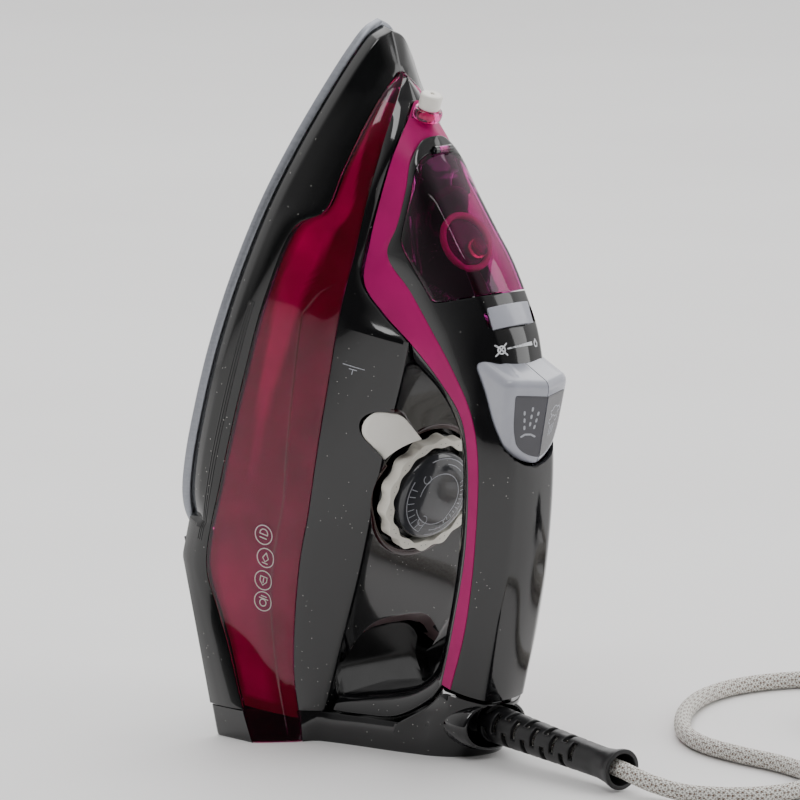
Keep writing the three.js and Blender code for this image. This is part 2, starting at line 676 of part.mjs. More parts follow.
/** One button: a block whose top falls away sideways from the middle, like half a roof. */
function buttonHalf() {
  const { front, rear, high } = BUTTON;
  const rise = 2.2;
  const profile = [
    [front + 1, 117.5], [front - 2, high], [rear + 3, high + rise], [rear, high + 1], [rear, 131],
  ];
  const block = intersect(slab(profile, -30, -0.25), plate(buttonPlan(0), 100, 160));
  const aboveRoof = new THREE.BoxGeometry(30, 80, 120).translate(15, 0, 0);
  aboveRoof.rotateZ(-Math.atan(0.36)).rotateY(-0.073);
  aboveRoof.translate(high + rise / 2, 0, lerp(front, rear, 0.5));
  return subtract(block, aboveRoof);
}

function buttons() {
  const body = buttonHalf();
  const inside = (margin, middle) => {
    const plan = buttonPlan(margin - 3.2).map(([a, y]) => [a - 1, Math.min(y, middle)]);
    return plate(plan, 100, 190);
  };
  const lowered = (depth) => body.clone().translate(-depth, 0, 0);
  const pad = subtract(intersect(inside(0, -0.55), body), lowered(1));
  const half = subtract(body, subtract(inside(0.3, 1), lowered(1.3)));
  for (const [name, side] of [["spray", -1], ["steam", 1]]) {
    const turn = side < 0 ? (g) => g : flipped;
    add(iron, `${name}_button`, turn(half), GREY);
    add(iron, `${name}_button_pad`, turn(pad), SMOKE);
    const { along, low, long } = PUMP;
    const across = PUMP.across * side;
    const barrel = bar(5.6, low, low + long, along, across, 16);
    const bore = bar(3.6, low + 2, low + long + 5, along, across, 16);
    add(iron, `${name}_pump`, subtract(barrel, bore), IVORY);
    add(iron, `${name}_pump_rod`, bar(3, low + 9, 120.2, along, across, 12), WHITE);
    const coil = Array.from({ length: 25 }, (_, k) => {
      const a = (2 * Math.PI * k) / 8;
      return at(along + 2.4 * Math.cos(a), across + 2.4 * Math.sin(a), low + 2.7 + k * 0.1);
    });
    add(iron, `${name}_pump_spring`, tube(coil, 0.4, 5, 24), STEEL);
  }
}

const slope = new THREE.Vector2(-0.78, 0.63); // [along, high] down the front of the handle
const outward = new THREE.Vector2(0.63, 0.78);

function sliderSlot() {
  const corner = (run, out) => [
    SLIDER.along + slope.x * run + outward.x * out,
    SLIDER.high + slope.y * run + outward.y * out,
  ];
  return [corner(-3.2, -8), corner(3.2, -8), corner(3.2, 8), corner(-3.2, 8)];
}

/** A block that follows an arc about the slider's axis, placed on the handle. */
function arcBlock(inner, outer, fromDeg, toDeg, half) {
  const shape = new THREE.Shape();
  const count = 10;
  const points = [];
  for (const [radius, a, b] of [[outer, fromDeg, toDeg], [inner, toDeg, fromDeg]]) {
    for (let k = 0; k <= count; k++) {
      const turn = THREE.MathUtils.degToRad(lerp(a, b, k / count));
      points.push(new THREE.Vector2(radius * Math.sin(turn), radius * Math.cos(turn)));
    }
  }
  shape.setFromPoints(points);
  const geometry = new THREE.ExtrudeGeometry(shape, { depth: 2 * half, bevelEnabled: false });
  geometry.translate(0, -SLIDER.radius, -half);
  const across = new THREE.Vector3(0, 1, 0);
  const out = new THREE.Vector3(outward.y, 0, outward.x);
  const along = across.clone().cross(out);
  geometry.applyMatrix4(new THREE.Matrix4().makeBasis(across, out, along));
  return geometry.translate(SLIDER.high, 0, SLIDER.along);
}

function sliderGroup() {
  const { radius, wideDeg, midDeg, long } = SLIDER;
  const cap = arcBlock(radius + 1.3, radius + 3.6, midDeg - wideDeg / 2, midDeg + wideDeg / 2, long / 2);
  const stem = arcBlock(radius - 4.4, radius + 1.5, midDeg - 6, midDeg + 6, 2.4);
  add(iron, "steam_slider", join(cap, stem), GREY);
  add(iron, "slider_cam", arcBlock(radius - 8, radius - 4.8, midDeg - 16, midDeg + 16, 3.4), WHITE);
  const arm = plate([[208, -1.2], [214, -1.2], [214, 1.2], [208, 1.2]], 97, 99.4);
  add(iron, "valve_rod", join(bar(1.5, 20.5, 99.4, VALVE_ALONG, 0, 10), arm), STEEL);
  const seat = bar(4.2, 16.2, 19.8, VALVE_ALONG, 0, 14);
  add(iron, "valve_seat", subtract(seat, bar(1.9, 10, 30, VALVE_ALONG, 0, 14)), BRASS);
}

function hoses() {
  const { along, across, low } = PUMP;
  const spray = [
    [along, -across, low - 0.6], [along + 2, -across, 89], [203, -9, 81], [216, -9, 67],
    [230, -9, 57.5], [243, -9, 52.5], [255, -8.4, 49.5], [264, -7.4, 46], [270, -4, 43.5],
  ];
  add(iron, "spray_hose", tube(spray.map((p) => at(...p)), 1.5, 8, 20), CLEAR);
  const steam = [at(along, across, low - 0.6), at(along, across, 60), at(along, across, 16.4)];
  add(iron, "steam_hose", tube(steam, 1.5, 8, 4), CLEAR);
}

// ---------------------------------------------------------------- nozzle
const NOSE = { along: 279.6, high: 40.2, tilt: 4, bore: 6.3 };

/** Turns a piece made on the Y axis onto the nozzle's axis. */
function onNose(geometry) {
  geometry.rotateX(Math.PI / 2).rotateY(THREE.MathUtils.degToRad(-NOSE.tilt));
  return geometry.translate(NOSE.high, 0, NOSE.along);
}

function nozzleBore() {
  return onNose(new THREE.CylinderGeometry(NOSE.bore, NOSE.bore, 8.5, 24).translate(0, 2.9, 0));
}

const lathe = (profile, sides) =>
  new THREE.LatheGeometry(profile.map(([r, z]) => new THREE.Vector2(r, z)), sides);

function nozzleGroup() {
  const collar = [
    [3.6, -1], [5.4, -1], [5.9, 0.2], [5.9, 2.6], [5.2, 3.4], [3.6, 3.4], [3.6, -1],
  ];
  add(iron, "nozzle_collar", onNose(lathe(collar, 24)), MAGENTA);
  const cap = [
    [0, 0], [3.2, 0], [3.2, 3.8], [4.5, 3.8], [4.6, 9.4], [4.1, 10], [1.6, 10.1], [0, 10.1],
  ];
  add(iron, "spray_nozzle", onNose(lathe(cap, 24)), WHITE);
}

// ---------------------------------------------------------------- heel, swivel and cord
/** The point of an outline line on a level plane of the floor frame. */
function level(line, z) {
  let along = z;
  for (let k = 0; k < 30; k++) along = (z + line(along).x * Math.sin(LEAN)) / Math.cos(LEAN);
  return toFloor(line(along));
}

const toFloor = (p) => new THREE.Vector3(
  p.z * Math.sin(LEAN) + p.x * Math.cos(LEAN), p.y, p.z * Math.cos(LEAN) - p.x * Math.sin(LEAN)
);

const STACK_TOP = 23; // the level at which the heel meets the handle's end

/** Left half of the heel's outline at one height, from the sole side to the crest. */
function heelSide(z) {
  const under = (along) => at(along, -57, (SOLE_REAR - along) * REAR_SLOPE);
  const near = ([across, high]) => (along) => at(along, across, high);
  const t = Math.min(1, z / STACK_TOP);
  const end = [
    [-28.8, 97], [-25, 114], [-21, 127], [-20, lerp(131, 134, t)],
    [lerp(-16, -19, t), lerp(137.5, 139, t)], [lerp(-10.5, -11, t), lerp(142.5, 147, t)],
    [-4, lerp(145, 149.3, t)],
  ];
  return [
    level(under, z),
    level((along) => pointAt(bandLow, Math.max(along, 1)), z),
    level((along) => pointAt(bandHigh, Math.max(along, 1)), z),
    level((along) => pointAt(shoulderRear, Math.max(along, 1)), z),
    ...end.map((p) => level(near(p), z)),
  ];
}

const ringOf = (side) => [...side, ...side.map(mirrored).reverse()];

function insetRing(ring, by) {
  const middle = ring.reduce((sum, p) => sum.add(p), new THREE.Vector3()).divideScalar(ring.length);
  return ring.map((p, k) => {
    const before = ring[(k + ring.length - 1) % ring.length];
    const after = ring[(k + 1) % ring.length];
    const along = after.clone().sub(before).setZ(0).normalize();
    const normal = new THREE.Vector3(-along.y, along.x, 0);
    if (normal.dot(middle.clone().sub(p)) < 0) normal.negate();
    return p.clone().addScaledVector(normal, by);
  });
}

const HEEL_FLOOR = 2.4;
const FIRST = 5; // the first point of the outline that belongs to the stack
const STACK_EDGE = [13.2, 21, 28.2, 27.4, 24.2, 23]; // height of the handle's seam at each point

/** The part of the heel that rises to the handle: how far it's drawn in, and its two ends. */
function heelStack(inset, start, lift) {
  const part = (z) => heelSide(z).slice(FIRST);
  const top = part(STACK_TOP).map((p, k) => p.setZ(STACK_EDGE[k] + lift));
  const loops = [part(start), part(HEEL_TOP), top].map(ringOf);
  return loft(inset > 0 ? loops.map((loop) => insetRing(loop, inset)) : loops);
}

/** A tray under the tank with a hollow stack that rises to the handle. */
function heelCover() {
  const outer = loft([0, 6, HEEL_TOP].map((z) => ringOf(heelSide(z))));
  const hollow = loft([HEEL_FLOOR, HEEL_TOP + 1].map((z) => insetRing(ringOf(heelSide(z)), WALL)));
  const seat = loft(
    [HEEL_FLOOR + 0.1, HEEL_TOP + 1].map((z) => insetRing(ringOf(heelSide(z).slice(FIRST)), 0.6))
  );
  const tray = subtract(outer, hollow, seat);
  const stack = subtract(heelStack(0, HEEL_FLOOR - 0.4, 0), heelStack(WALL, HEEL_FLOOR, 1.5));
  const mouth = new THREE.BoxGeometry(40, 26, 18.4).translate(BALL.x + 27, 0, BALL.z - 0.4);
  const passage = new THREE.BoxGeometry(30, 34, 30).translate(126, 0, 18);
  return subtract(join(tray, stack), mouth, passage);
}

function heelGroup() {
  add(floor, "heel_cover", heelCover(), BLACK);
  add(floor, "terminal_block", new THREE.BoxGeometry(12, 26, 9).translate(98, 0, 8), WHITE);
  add(floor, "cord_clamp", new THREE.BoxGeometry(7, 16, 7).translate(114, 0, 7), DARK);
}

/** A turned piece with its axis from one point to another. */
function turnedBetween(profile, from, to, sides) {
  const axis = new THREE.Vector3(...to).sub(new THREE.Vector3(...from)).normalize();
  const geometry = lathe(profile, sides);
  geometry.applyQuaternion(new THREE.Quaternion().setFromUnitVectors(new THREE.Vector3(0, 1, 0), axis));
  return geometry.translate(...from);
}

function guardProfile() {
  const long = new THREE.Vector3(...GUARD.to).distanceTo(new THREE.Vector3(...GUARD.from));
  const bore = CORD_R + 0.35;
  const outer = [[7.8, 0]];
  const ribs = 5;
  for (let k = 0; k < ribs; k++) {
    const d = 4 + k * 13;
    const r = lerp(7.7, 6.5, k / (ribs - 1));
    outer.push([r, d], [r, d + 8], [r - 1, d + 9], [r - 1, d + 12]);
  }
  outer.push([6.6, long - 9], [GUARD.mouth, long - 2], [GUARD.mouth, long - 0.5], [7, long]);
  return [[bore, 0], ...outer, [bore, long], [bore, 0]];
}

// The free lead on the floor, from inside the guard to where it joins the coil.
const CORD_ROUTE = [
  [150, -0.4, 14.4], [180, -2.9, 12.5], [210, -5.5, 10.8], [238.5, -8, 9.1], [254, -7.6, 6.3],
  [268, -3.5, 4.2], [281, 5, 3.7], [291, 18, 3.7], [294, 34, 3.7], [288, 50, 3.7], [274, 60.5, 3.7],
  [255, 64.5, 3.7], [232, 64.5, 3.7], [209, 67, 3.7], [188, 76.5, 3.7], [169, 93, 3.7],
  [152, 113, 3.7], [139, 136, 3.7], [134, 160, 3.7], [139, 184, 3.7], [154, 204, 3.7],
  [176, 217.5, 3.7], [203, 223, 3.7],
];
const TAIL_ROUTE = [[258, 223, 13], [268, 223, 15.6], [277, 223, 18.2], [285.6, 223, 19.2]];
const PLUG_FROM = [286.4, 223, 19.2];
const PLUG_TO = [372, 223, 19.2];

function cordGroup() {
  const ballEnd = [BALL.x - BALL.radius, 0, BALL.z];
  add(floor, "swivel_ball", turnedBetween(ballProfile(), ballEnd, GUARD.from, 20), DARK);
  add(floor, "cord_guard", turnedBetween(guardProfile(), GUARD.from, GUARD.to, 16), RUBBER);
  add(floor, "cord", tube(CORD_ROUTE.map((p) => new THREE.Vector3(...p)), CORD_R, 8, 56), BRAID);
  const inner = COIL.inner - CORD_R;
  const outer = COIL.outer + CORD_R;
  const section = [
    [inner, 0.2], [outer, 0.2], [outer, COIL.height], [inner, COIL.height], [inner, 0.2],
  ];
  const ring = lathe(section, 32).rotateX(Math.PI / 2).translate(COIL.x, COIL.y, 0);
  add(floor, "cord_coil", ring, BRAID);
  add(floor, "cord_tail", tube(TAIL_ROUTE.map((p) => new THREE.Vector3(...p)), CORD_R, 8, 6), BRAID);
  const relief = [[0, 0], [4.6, 0], [5.2, 2], [7.6, 28], [7.6, 30], [0, 30]];
  add(floor, "plug_relief", turnedBetween(relief, PLUG_FROM, PLUG_TO, 16), RUBBER);
  const body = [
    [0, 30.3], [9, 30.3], [13, 34], [17.4, 42], [18.6, 46], [18.6, 62], [17.2, 63.4], [0, 63.4],
  ];
  add(floor, "plug_body", turnedBetween(body, PLUG_FROM, PLUG_TO, 28), RUBBER);
  for (const [name, side] of [["left", -1], ["right", 1]]) {
    const pin = [[0, 63.7], [2.4, 63.7], [2.4, 81], [1.6, 82.4], [0, 82.7]];
    const geometry = turnedBetween(pin, PLUG_FROM, PLUG_TO, 12).translate(0, side * 9.5, 0);
    add(floor, `plug_pin_${name}`, geometry, STEEL);
  }
}

function ballProfile() {
  const { radius } = BALL;
  const profile = [];
  const last = Math.PI * 0.76;
  for (let k = 0; k <= 8; k++) {
    const a = (last * k) / 8;
    profile.push([radius * Math.sin(a), radius * (1 - Math.cos(a))]);
  }
  return [...profile, [0, radius * (1 - Math.cos(last))]];
}

soleplateGroup();
lowerCovers();
tankGroup();
dialGroup();
handleGroup();
buttons();
sliderGroup();
hoses();
nozzleGroup();
heelGroup();
cordGroup();

const group = new THREE.Group();
group.add(iron, floor);
export default group;
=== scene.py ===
import math

import bmesh
import bpy
import numpy as np
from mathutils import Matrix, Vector
from mathutils.bvhtree import BVHTree


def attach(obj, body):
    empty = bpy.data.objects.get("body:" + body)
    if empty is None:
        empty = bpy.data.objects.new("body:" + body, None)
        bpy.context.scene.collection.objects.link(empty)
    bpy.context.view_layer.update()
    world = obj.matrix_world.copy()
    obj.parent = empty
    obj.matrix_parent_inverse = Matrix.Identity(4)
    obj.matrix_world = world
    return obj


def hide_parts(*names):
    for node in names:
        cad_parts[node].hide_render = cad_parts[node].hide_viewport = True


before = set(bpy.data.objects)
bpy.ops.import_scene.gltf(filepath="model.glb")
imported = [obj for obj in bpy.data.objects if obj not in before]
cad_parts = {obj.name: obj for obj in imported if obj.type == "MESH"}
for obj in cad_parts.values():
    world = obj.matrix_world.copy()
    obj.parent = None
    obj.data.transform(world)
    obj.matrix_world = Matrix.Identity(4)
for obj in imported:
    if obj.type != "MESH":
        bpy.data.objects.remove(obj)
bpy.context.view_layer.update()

# ---------------------------------------------------------------- driving sizes, mm
LEAN = math.radians(15.5)
SIN, COS = math.sin(LEAN), math.cos(LEAN)
FOOT_X = 104.75
HEEL_TOP = 12.5
SEAM = 0.4
WALL = 2.2
REAR_SLOPE = 0.62
SOLE_REAR = 85
KEYS = 13
DIAL_ALONG = 131
DIAL_WELL = 28.2
STRIP_MEETS = 198
BOWL_FRONT = 74.5
BOWL_HALF = 23
BOWL_SWEEP = 10
SOLE_MIDDLE = np.array([190, 0])
SOLE_HALF = np.array([112, 61.5])
HEEL_MIDDLE = np.array([98, 0, 0])
HEEL_HALF = (55, 40)
HINGE = (270.2, 0, 52.8)
FILLER_AT = (238.6, 0, 76.2)
FILLER_AXIS = (0.68, 0, 0.73)
BAND_ICONS = [[102, -50.8, 44.6], [92.5, -49.7, 47.1], [82.5, -48.9, 47.5], [73.5, -48.1, 48.8]]
SLIDER = {"along": 221, "high": 111.5, "radius": 22.4}
# The handle's slope by the slider, as (along, high): the way down it and the way out of it.
RUN, OUT = (-0.78, 0.63), (0.63, 0.78)
BUTTON = {"front": 204, "rear": 167, "wide": 17, "high": 138, "rise": 2.2, "fall": 0.36}
CORD_R = 3.5
COIL = {"x": 232, "y": 178, "radii": (45, 38, 31), "floor": 3.7, "layer": 7.1}
BALL = (139, 0, 15)
GUARD_FROM = (153, -0.6, 14.2)
GUARD_TO = (238.5, -8, 9.1)
BIG = 99.0


# ---------------------------------------------------------------- frames and lines
def iron(points):
    """Points of the iron's frame as points of the row frame, in metres."""
    p = np.asarray(points, float)
    along, across, high = p[..., 0], p[..., 1], p[..., 2]
    x = along * SIN + high * COS - FOOT_X
    z = along * COS - high * SIN
    return np.stack([x, across, z], -1) / 1000


def floor_frame(points):
    """Points measured from the sole plane's line on the floor, as row frame metres."""
    return (np.asarray(points, float) - [FOOT_X, 0, 0]) / 1000


def unit(v):
    v = np.asarray(v, float)
    return v / np.linalg.norm(v, axis=-1, keepdims=True)


def lerp(a, b, t):
    return a + (b - a) * t


def smooth(low, high, x):
    t = np.clip((x - low) / (high - low), 0, 1)
    return t * t * (3 - 2 * t)


def between(value, marks, points):
    """The point, or points, at a value on a scale that runs with a line's points."""
    return np.array([np.interp(value, marks, column) for column in points.T]).T


def lengths(path):
    """How far along a path each of its points is."""
    return np.concatenate([[0], np.cumsum(np.linalg.norm(np.diff(path, axis=0), axis=1))])


class Line:
    """A centripetal Catmull-Rom curve through key points."""

    def __init__(self, keys, steps=24):
        keys = np.array(keys, float)
        p = np.vstack([2 * keys[0] - keys[1], keys, 2 * keys[-1] - keys[-2]])
        d = np.linalg.norm(np.diff(p, axis=0), axis=1) ** 0.5
        u = np.linspace(0, 1, steps, endpoint=False)[:, None]
        spans = []
        for i in range(1, len(p) - 2):
            p0, p1, p2, p3 = p[i - 1 : i + 3]
            d0, d1, d2 = d[i - 1 : i + 2]
            m1 = ((p1 - p0) / d0 - (p2 - p0) / (d0 + d1) + (p2 - p1) / d1) * d1
            m2 = ((p2 - p1) / d1 - (p3 - p1) / (d1 + d2) + (p3 - p2) / d2) * d1
            cubic = 2 * p1 - 2 * p2 + m1 + m2
            square = -3 * p1 + 3 * p2 - 2 * m1 - m2
            spans.append(((cubic * u + square) * u + m1) * u + p1)
        self.points = np.vstack([*spans, keys[-1:]])
        self.count = len(keys)

    def at(self, share):
        """The point at a share of the keys, from 0 to 1."""
        place = np.clip(share, 0, 1) * (len(self.points) - 1)
        return between(place, np.arange(len(self.points)), self.points)

    def along(self, value):
        """The point at one "along" of a line that runs steadily along the iron."""
        order = self.points if self.points[-1, 0] > self.points[0, 0] else self.points[::-1]
        return between(value, order[:, 0], order)


class Sided(Line):
    """A line that starts on the middle plane and is mirrored past it, by key number."""

    def __init__(self, keys):
        keys = np.array(keys, float)
        other = keys[:0:-1] * [1, -1, 1]
        super().__init__(np.vstack([other, keys]))
        self.last = len(keys) - 1

    def key(self, k):
        return self.at((np.asarray(k, float) + self.last) / (2 * self.last))


def mirrored(points):
    return np.asarray(points) * [1, -1, 1]


def soft(points, radii, count=5):
    """A run of points with its inner corners rounded; a big radius gives a smooth curve."""
    points = [np.asarray(p, float) for p in points]
    out = [points[0]]
    for a, b, c, radius in zip(points, points[1:], points[2:], radii):
        back, ahead = a - b, c - b
        start = b + unit(back) * min(radius, 0.5 * np.linalg.norm(back))
        end = b + unit(ahead) * min(radius, 0.5 * np.linalg.norm(ahead))
        for k in range(count + 1):
            t = k / count
            out.append((1 - t) ** 2 * start + 2 * t * (1 - t) * b + t * t * end)
    out.append(points[-1])
    return np.array(out)


def soft_loop(points, radii, count=5):
    """A closed outline with rounded corners."""
    points = [np.asarray(p, float) for p in points]
    run = [points[-1], *points, points[0]]
    return soft(run, radii, count)[1:-1]


def rounded(points, radii, count=5, closed=False):
    """A flat outline with rounded corners, open or closed on itself."""
    round_off = soft_loop if closed else soft
    return round_off([[*p, 0] for p in points], radii, count)[:, :2]


SOLE_SIDE = Line([
    [85, -40, 0], [86, -46, 0], [89, -51.5, 0], [95, -56, 0], [104, -59.5, 0], [120, -61.5, 0],
    [143, -61.5, 0], [167, -60, 0], [191, -56.5, 0], [213, -51.5, 0], [234, -45, 0],
    [255, -36, 0], [278, -24, 0], [297, -12.5, 0], [305, -6, 0], [308, 0, 0],
])
BAND_LOW = Line([
    [0, -57, 84], [20, -56.5, 66], [35, -55.5, 52], [50, -54.5, 40], [62, -54.5, 30],
    [78, -56, 20], [117, -57, 20], [162, -55, 20], [200, -51, 20], [229, -43.5, 22],
    [238, -37, 30], [255, -29, 28], [273, -18.5, 25], [285, -9, 22.5], [292, 0, 20.5],
])
BAND_HIGH = Line([
    [0, -41, 86], [25, -40, 77], [50, -40.5, 66], [95, -44.5, 62], [118, -45, 62],
    [141, -44.5, 60], [176, -41, 55], [205, -37, 50], [224, -31.5, 46], [243, -24.5, 40],
    [268, -16.5, 35], [284, -6.5, 28], [292, 0, 22.5],
])
STRIPE_LOW = Sided([
    [284, 0, 32.5], [278, -7, 37], [264.5, -16.5, 42], [246, -20.5, 43.5], [229, -25, 47],
    [214, -28.5, 52], [205, -25.5, 63], [198, -23, 79], [189, -20.5, 96], [179, -20, 112],
    [165, -20, 120], [130, -20, 129], [96, -20, 131], [68, -20, 131],
])
STRIPE_HIGH = Sided([
    [274, 0, 47.5], [270.5, -7.5, 46.5], [265.5, -12.5, 48.5], [254, -16.5, 53],
    [240, -19.5, 55], [227.5, -22, 55], [217.5, -21, 71], [206, -20.5, 88],
    [197, -20.3, 101], [183, -20, 117], [167, -20, 126], [130, -20, 134.5],
    [96, -20, 138], [68, -20, 136.5],
])
FACET = Sided([
    [274.2, 0, 47.7], [271, -5, 49.5], [266, -8.5, 54], [256, -11, 66], [245, -12, 80.5],
    [237, -12.5, 91.5], [227.5, -12.5, 102], [215, -12.5, 113.5], [204.5, -12, 120],
    [189, -11.5, 128.5], [170, -11, 137], [130, -11, 145], [96, -11, 147], [66.5, -11, 147.5],
])
CREST = Sided([
    [274.4, 0, 47.9], [271.3, 0, 51], [266.5, 0, 56.5], [257, 0, 69.5], [246, 0, 84],
    [238, 0, 95.5], [229, 0, 105], [217, 0, 116], [206, 0, 122.5], [190, 0, 130.5],
    [170, 0, 139], [130, 0, 147], [96, 0, 149], [66, 0, 149.6],
])
SHOULDER = Line([
    [0, -34, 81], [30, -33.5, 80.6], [60, -31.5, 80.4], [101, -28.5, 80.5], [150, -27.5, 80],
    [186, -24.6, 79.2], [200, -23.5, 78],
])
CORNER = Line([
    [187.5, -18, 80.6], [181.5, -16, 95], [171, -16, 109], [161, -16, 114], [126.5, -16, 121.5],
    [93, -16, 124], [72, -16, 122.5], [61.5, -17.5, 116], [53, -20, 103], [47, -23.5, 90],
    [43, -26.5, 81.6],
])
MIDDLE = Line([
    [184.5, 0, 80.2], [179, 0, 93], [169, 0, 106], [160, 0, 111], [126, 0, 118.5],
    [92.5, 0, 121], [73, 0, 119.5], [63, 0, 113], [55, 0, 101], [49, 0, 89], [45, 0, 80.6],
])
HEEL_EDGE = Line([
    [68, -20, 131], [60, -21, 126.5], [47.5, -25, 114], [41.2, -29, 97], [37.5, -32, 84],
])
HEEL_CORE = Line([[67, 0, 139], [50, 0, 135], [38, 0, 118], [30, 0, 105], [26, 0, 97]])
LID_SIDE = [
    [275, 53], [269.5, 51], [260.5, 54.2], [252, 56.6], [236.5, 58.6], [233, 60.5],
    [217.5, 83.5], [218, 86], [229.8, 107.5], [245, 130], [300, 80],
]


# ---------------------------------------------------------------- materials
def rgb(code):
    """A colour code such as "a0b0c0" as linear light."""
    parts = [int(code[k : k + 2], 16) / 255 for k in (0, 2, 4)]
    return tuple(c / 12.92 if c <= 0.04045 else ((c + 0.055) / 1.055) ** 2.4 for c in parts)


class Nodes:
    """Short ways to add shader nodes to one material."""

    def __init__(self, name):
        self.material = bpy.data.materials.new(name)
        self.material.use_nodes = True
        self.tree = self.material.node_tree
        self.shader = next(n for n in self.tree.nodes if n.type == "BSDF_PRINCIPLED")
        self.place = self.add("ShaderNodeTexCoord").outputs["Object"]

    def add(self, kind, **settings):
        node = self.tree.nodes.new(kind)
        for key, value in settings.items():
            setattr(node, key, value)
        return node

    def feed(self, socket, value):
        if isinstance(value, bpy.types.NodeSocket):
            self.tree.links.new(value, socket)
        elif isinstance(value, (tuple, list)) and len(value) == 3 and socket.type == "RGBA":
            socket.default_value = (*value, 1)
        else:
            socket.default_value = value

    def math(self, operation, *values):
        node = self.add("ShaderNodeMath", operation=operation)
        for socket, value in zip(node.inputs, values):
            self.feed(socket, value)
        return node.outputs[0]

    def mix(self, share, first, second):
        node = self.add("ShaderNodeMix", data_type="RGBA")
        for name, value in (("Factor", share), ("A", first), ("B", second)):
            sockets = [s for s in node.inputs if s.name == name]
            socket = next(s for s in sockets if s.type == ("VALUE" if name == "Factor" else "RGBA"))
            self.feed(socket, value)
        return next(s for s in node.outputs if s.type == "RGBA")

    def noise(self, scale, detail=3.0, place=None, stretch=None):
        place = place or self.place
        if stretch:
            mapping = self.add("ShaderNodeMapping")
            self.feed(mapping.inputs["Vector"], place)
            mapping.inputs["Scale"].default_value = stretch
            place = mapping.outputs[0]
        node = self.add("ShaderNodeTexNoise")
        self.feed(node.inputs["Vector"], place)
        node.inputs["Scale"].default_value = scale
        node.inputs["Detail"].default_value = detail
        return node.outputs["Fac"]

    def span(self, value, low, high, start=0.35, end=0.65):
        """The value's middle range spread from low to high."""
        node = self.add("ShaderNodeMapRange")
        for socket, number in zip(node.inputs, (value, start, end, low, high)):
            self.feed(socket, number)
        return node.outputs[0]

    def specks(self, scale, size):
        """1 on small scattered specks and 0 elsewhere."""
        node = self.add("ShaderNodeTexVoronoi")
        self.feed(node.inputs["Vector"], self.place)
        node.inputs["Scale"].default_value = scale
        near = self.math("LESS_THAN", node.outputs["Distance"], size)
        few = self.math("GREATER_THAN", self.noise(scale * 0.11), 0.52)
        return self.math("MULTIPLY", near, few)

    def attribute(self, name):
        return self.add("ShaderNodeAttribute", attribute_name=name).outputs["Fac"]

    def bump(self, height, strength, distance=0.0002):
        node = self.add("ShaderNodeBump")
        node.inputs["Strength"].default_value = strength
        node.inputs["Distance"].default_value = distance
        self.feed(node.inputs["Height"], height)
        self.feed(self.shader.inputs["Normal"], node.outputs[0])

    def set(self, **values):
        """Values of the shader's own sockets, with _ for each space."""
        for key, value in values.items():
            self.feed(self.shader.inputs[key.replace("_", " ")], value)
        return self.material


def plastic(name, code, roughness, spread=0.04, grain=700, relief=0.03, tint=0.12, dust=0.0, **sockets):
    """Moulded plastic: a little mottle in its colour, haze in its gloss and a fine skin."""
    nodes = Nodes(name)
    colour = rgb(code)
    darker = tuple(c * (1 - tint) for c in colour)
    lighter = tuple(c * (1 + tint) for c in colour)
    shade = nodes.mix(nodes.span(nodes.noise(60), 0.0, 1.0), darker, lighter)
    if dust:
        shade = nodes.mix(nodes.math("MULTIPLY", nodes.specks(420, 0.07), dust), shade, rgb("d8d6d0"))
    haze = nodes.span(nodes.noise(140, 5.0), roughness, roughness + spread)
    nodes.bump(nodes.noise(grain, 2.0), relief)
    return nodes.set(Base_Color=shade, Roughness=haze, **sockets)


def tinted(name, code, roughness, relief=0.02):
    """Clear tinted plastic that light passes through."""
    nodes = Nodes(name)
    colour = rgb(code)
    deep = tuple(c * 0.82 for c in colour)
    shade = nodes.mix(nodes.span(nodes.noise(50), 0.0, 1.0), deep, colour)
    haze = nodes.span(nodes.noise(180, 4.0), roughness, roughness + 0.03)
    nodes.bump(nodes.noise(160, 1.0), relief)
    return nodes.set(Base_Color=shade, Roughness=haze, Transmission_Weight=1.0, IOR=1.46)


def metal(name, code, roughness, stretch=(1, 1, 1), relief=0.1):
    """Brushed or cast metal, with its grain drawn out along one direction."""
    nodes = Nodes(name)
    colour = rgb(code)
    grain = nodes.noise(900, 4.0, stretch=stretch)
    shade = nodes.mix(nodes.span(grain, 0.0, 1.0), tuple(c * 0.85 for c in colour), colour)
    nodes.bump(grain, relief)
    return nodes.set(Base_Color=shade, Roughness=nodes.span(grain, roughness, roughness + 0.1), Metallic=1.0)


def reflector_material():
    """Magenta behind the clear bands, with a painted reflection: bright magenta where its point attribute says.
    """
    nodes = Nodes("reflector")
    # Painted reflection: the dull magenta turns bright magenta where the point attribute marks the painted
    # reflection.
    shade = nodes.mix(nodes.attribute("painted_reflection"), rgb("8a3066"), rgb("ff70ff"))
    wash = nodes.mix(nodes.span(nodes.noise(40), 0.0, 0.25), shade, rgb("d04cb4"))
    nodes.bump(nodes.noise(300), 0.03)
    return nodes.set(Base_Color=wash, Roughness=nodes.span(nodes.noise(90), 0.35, 0.5))


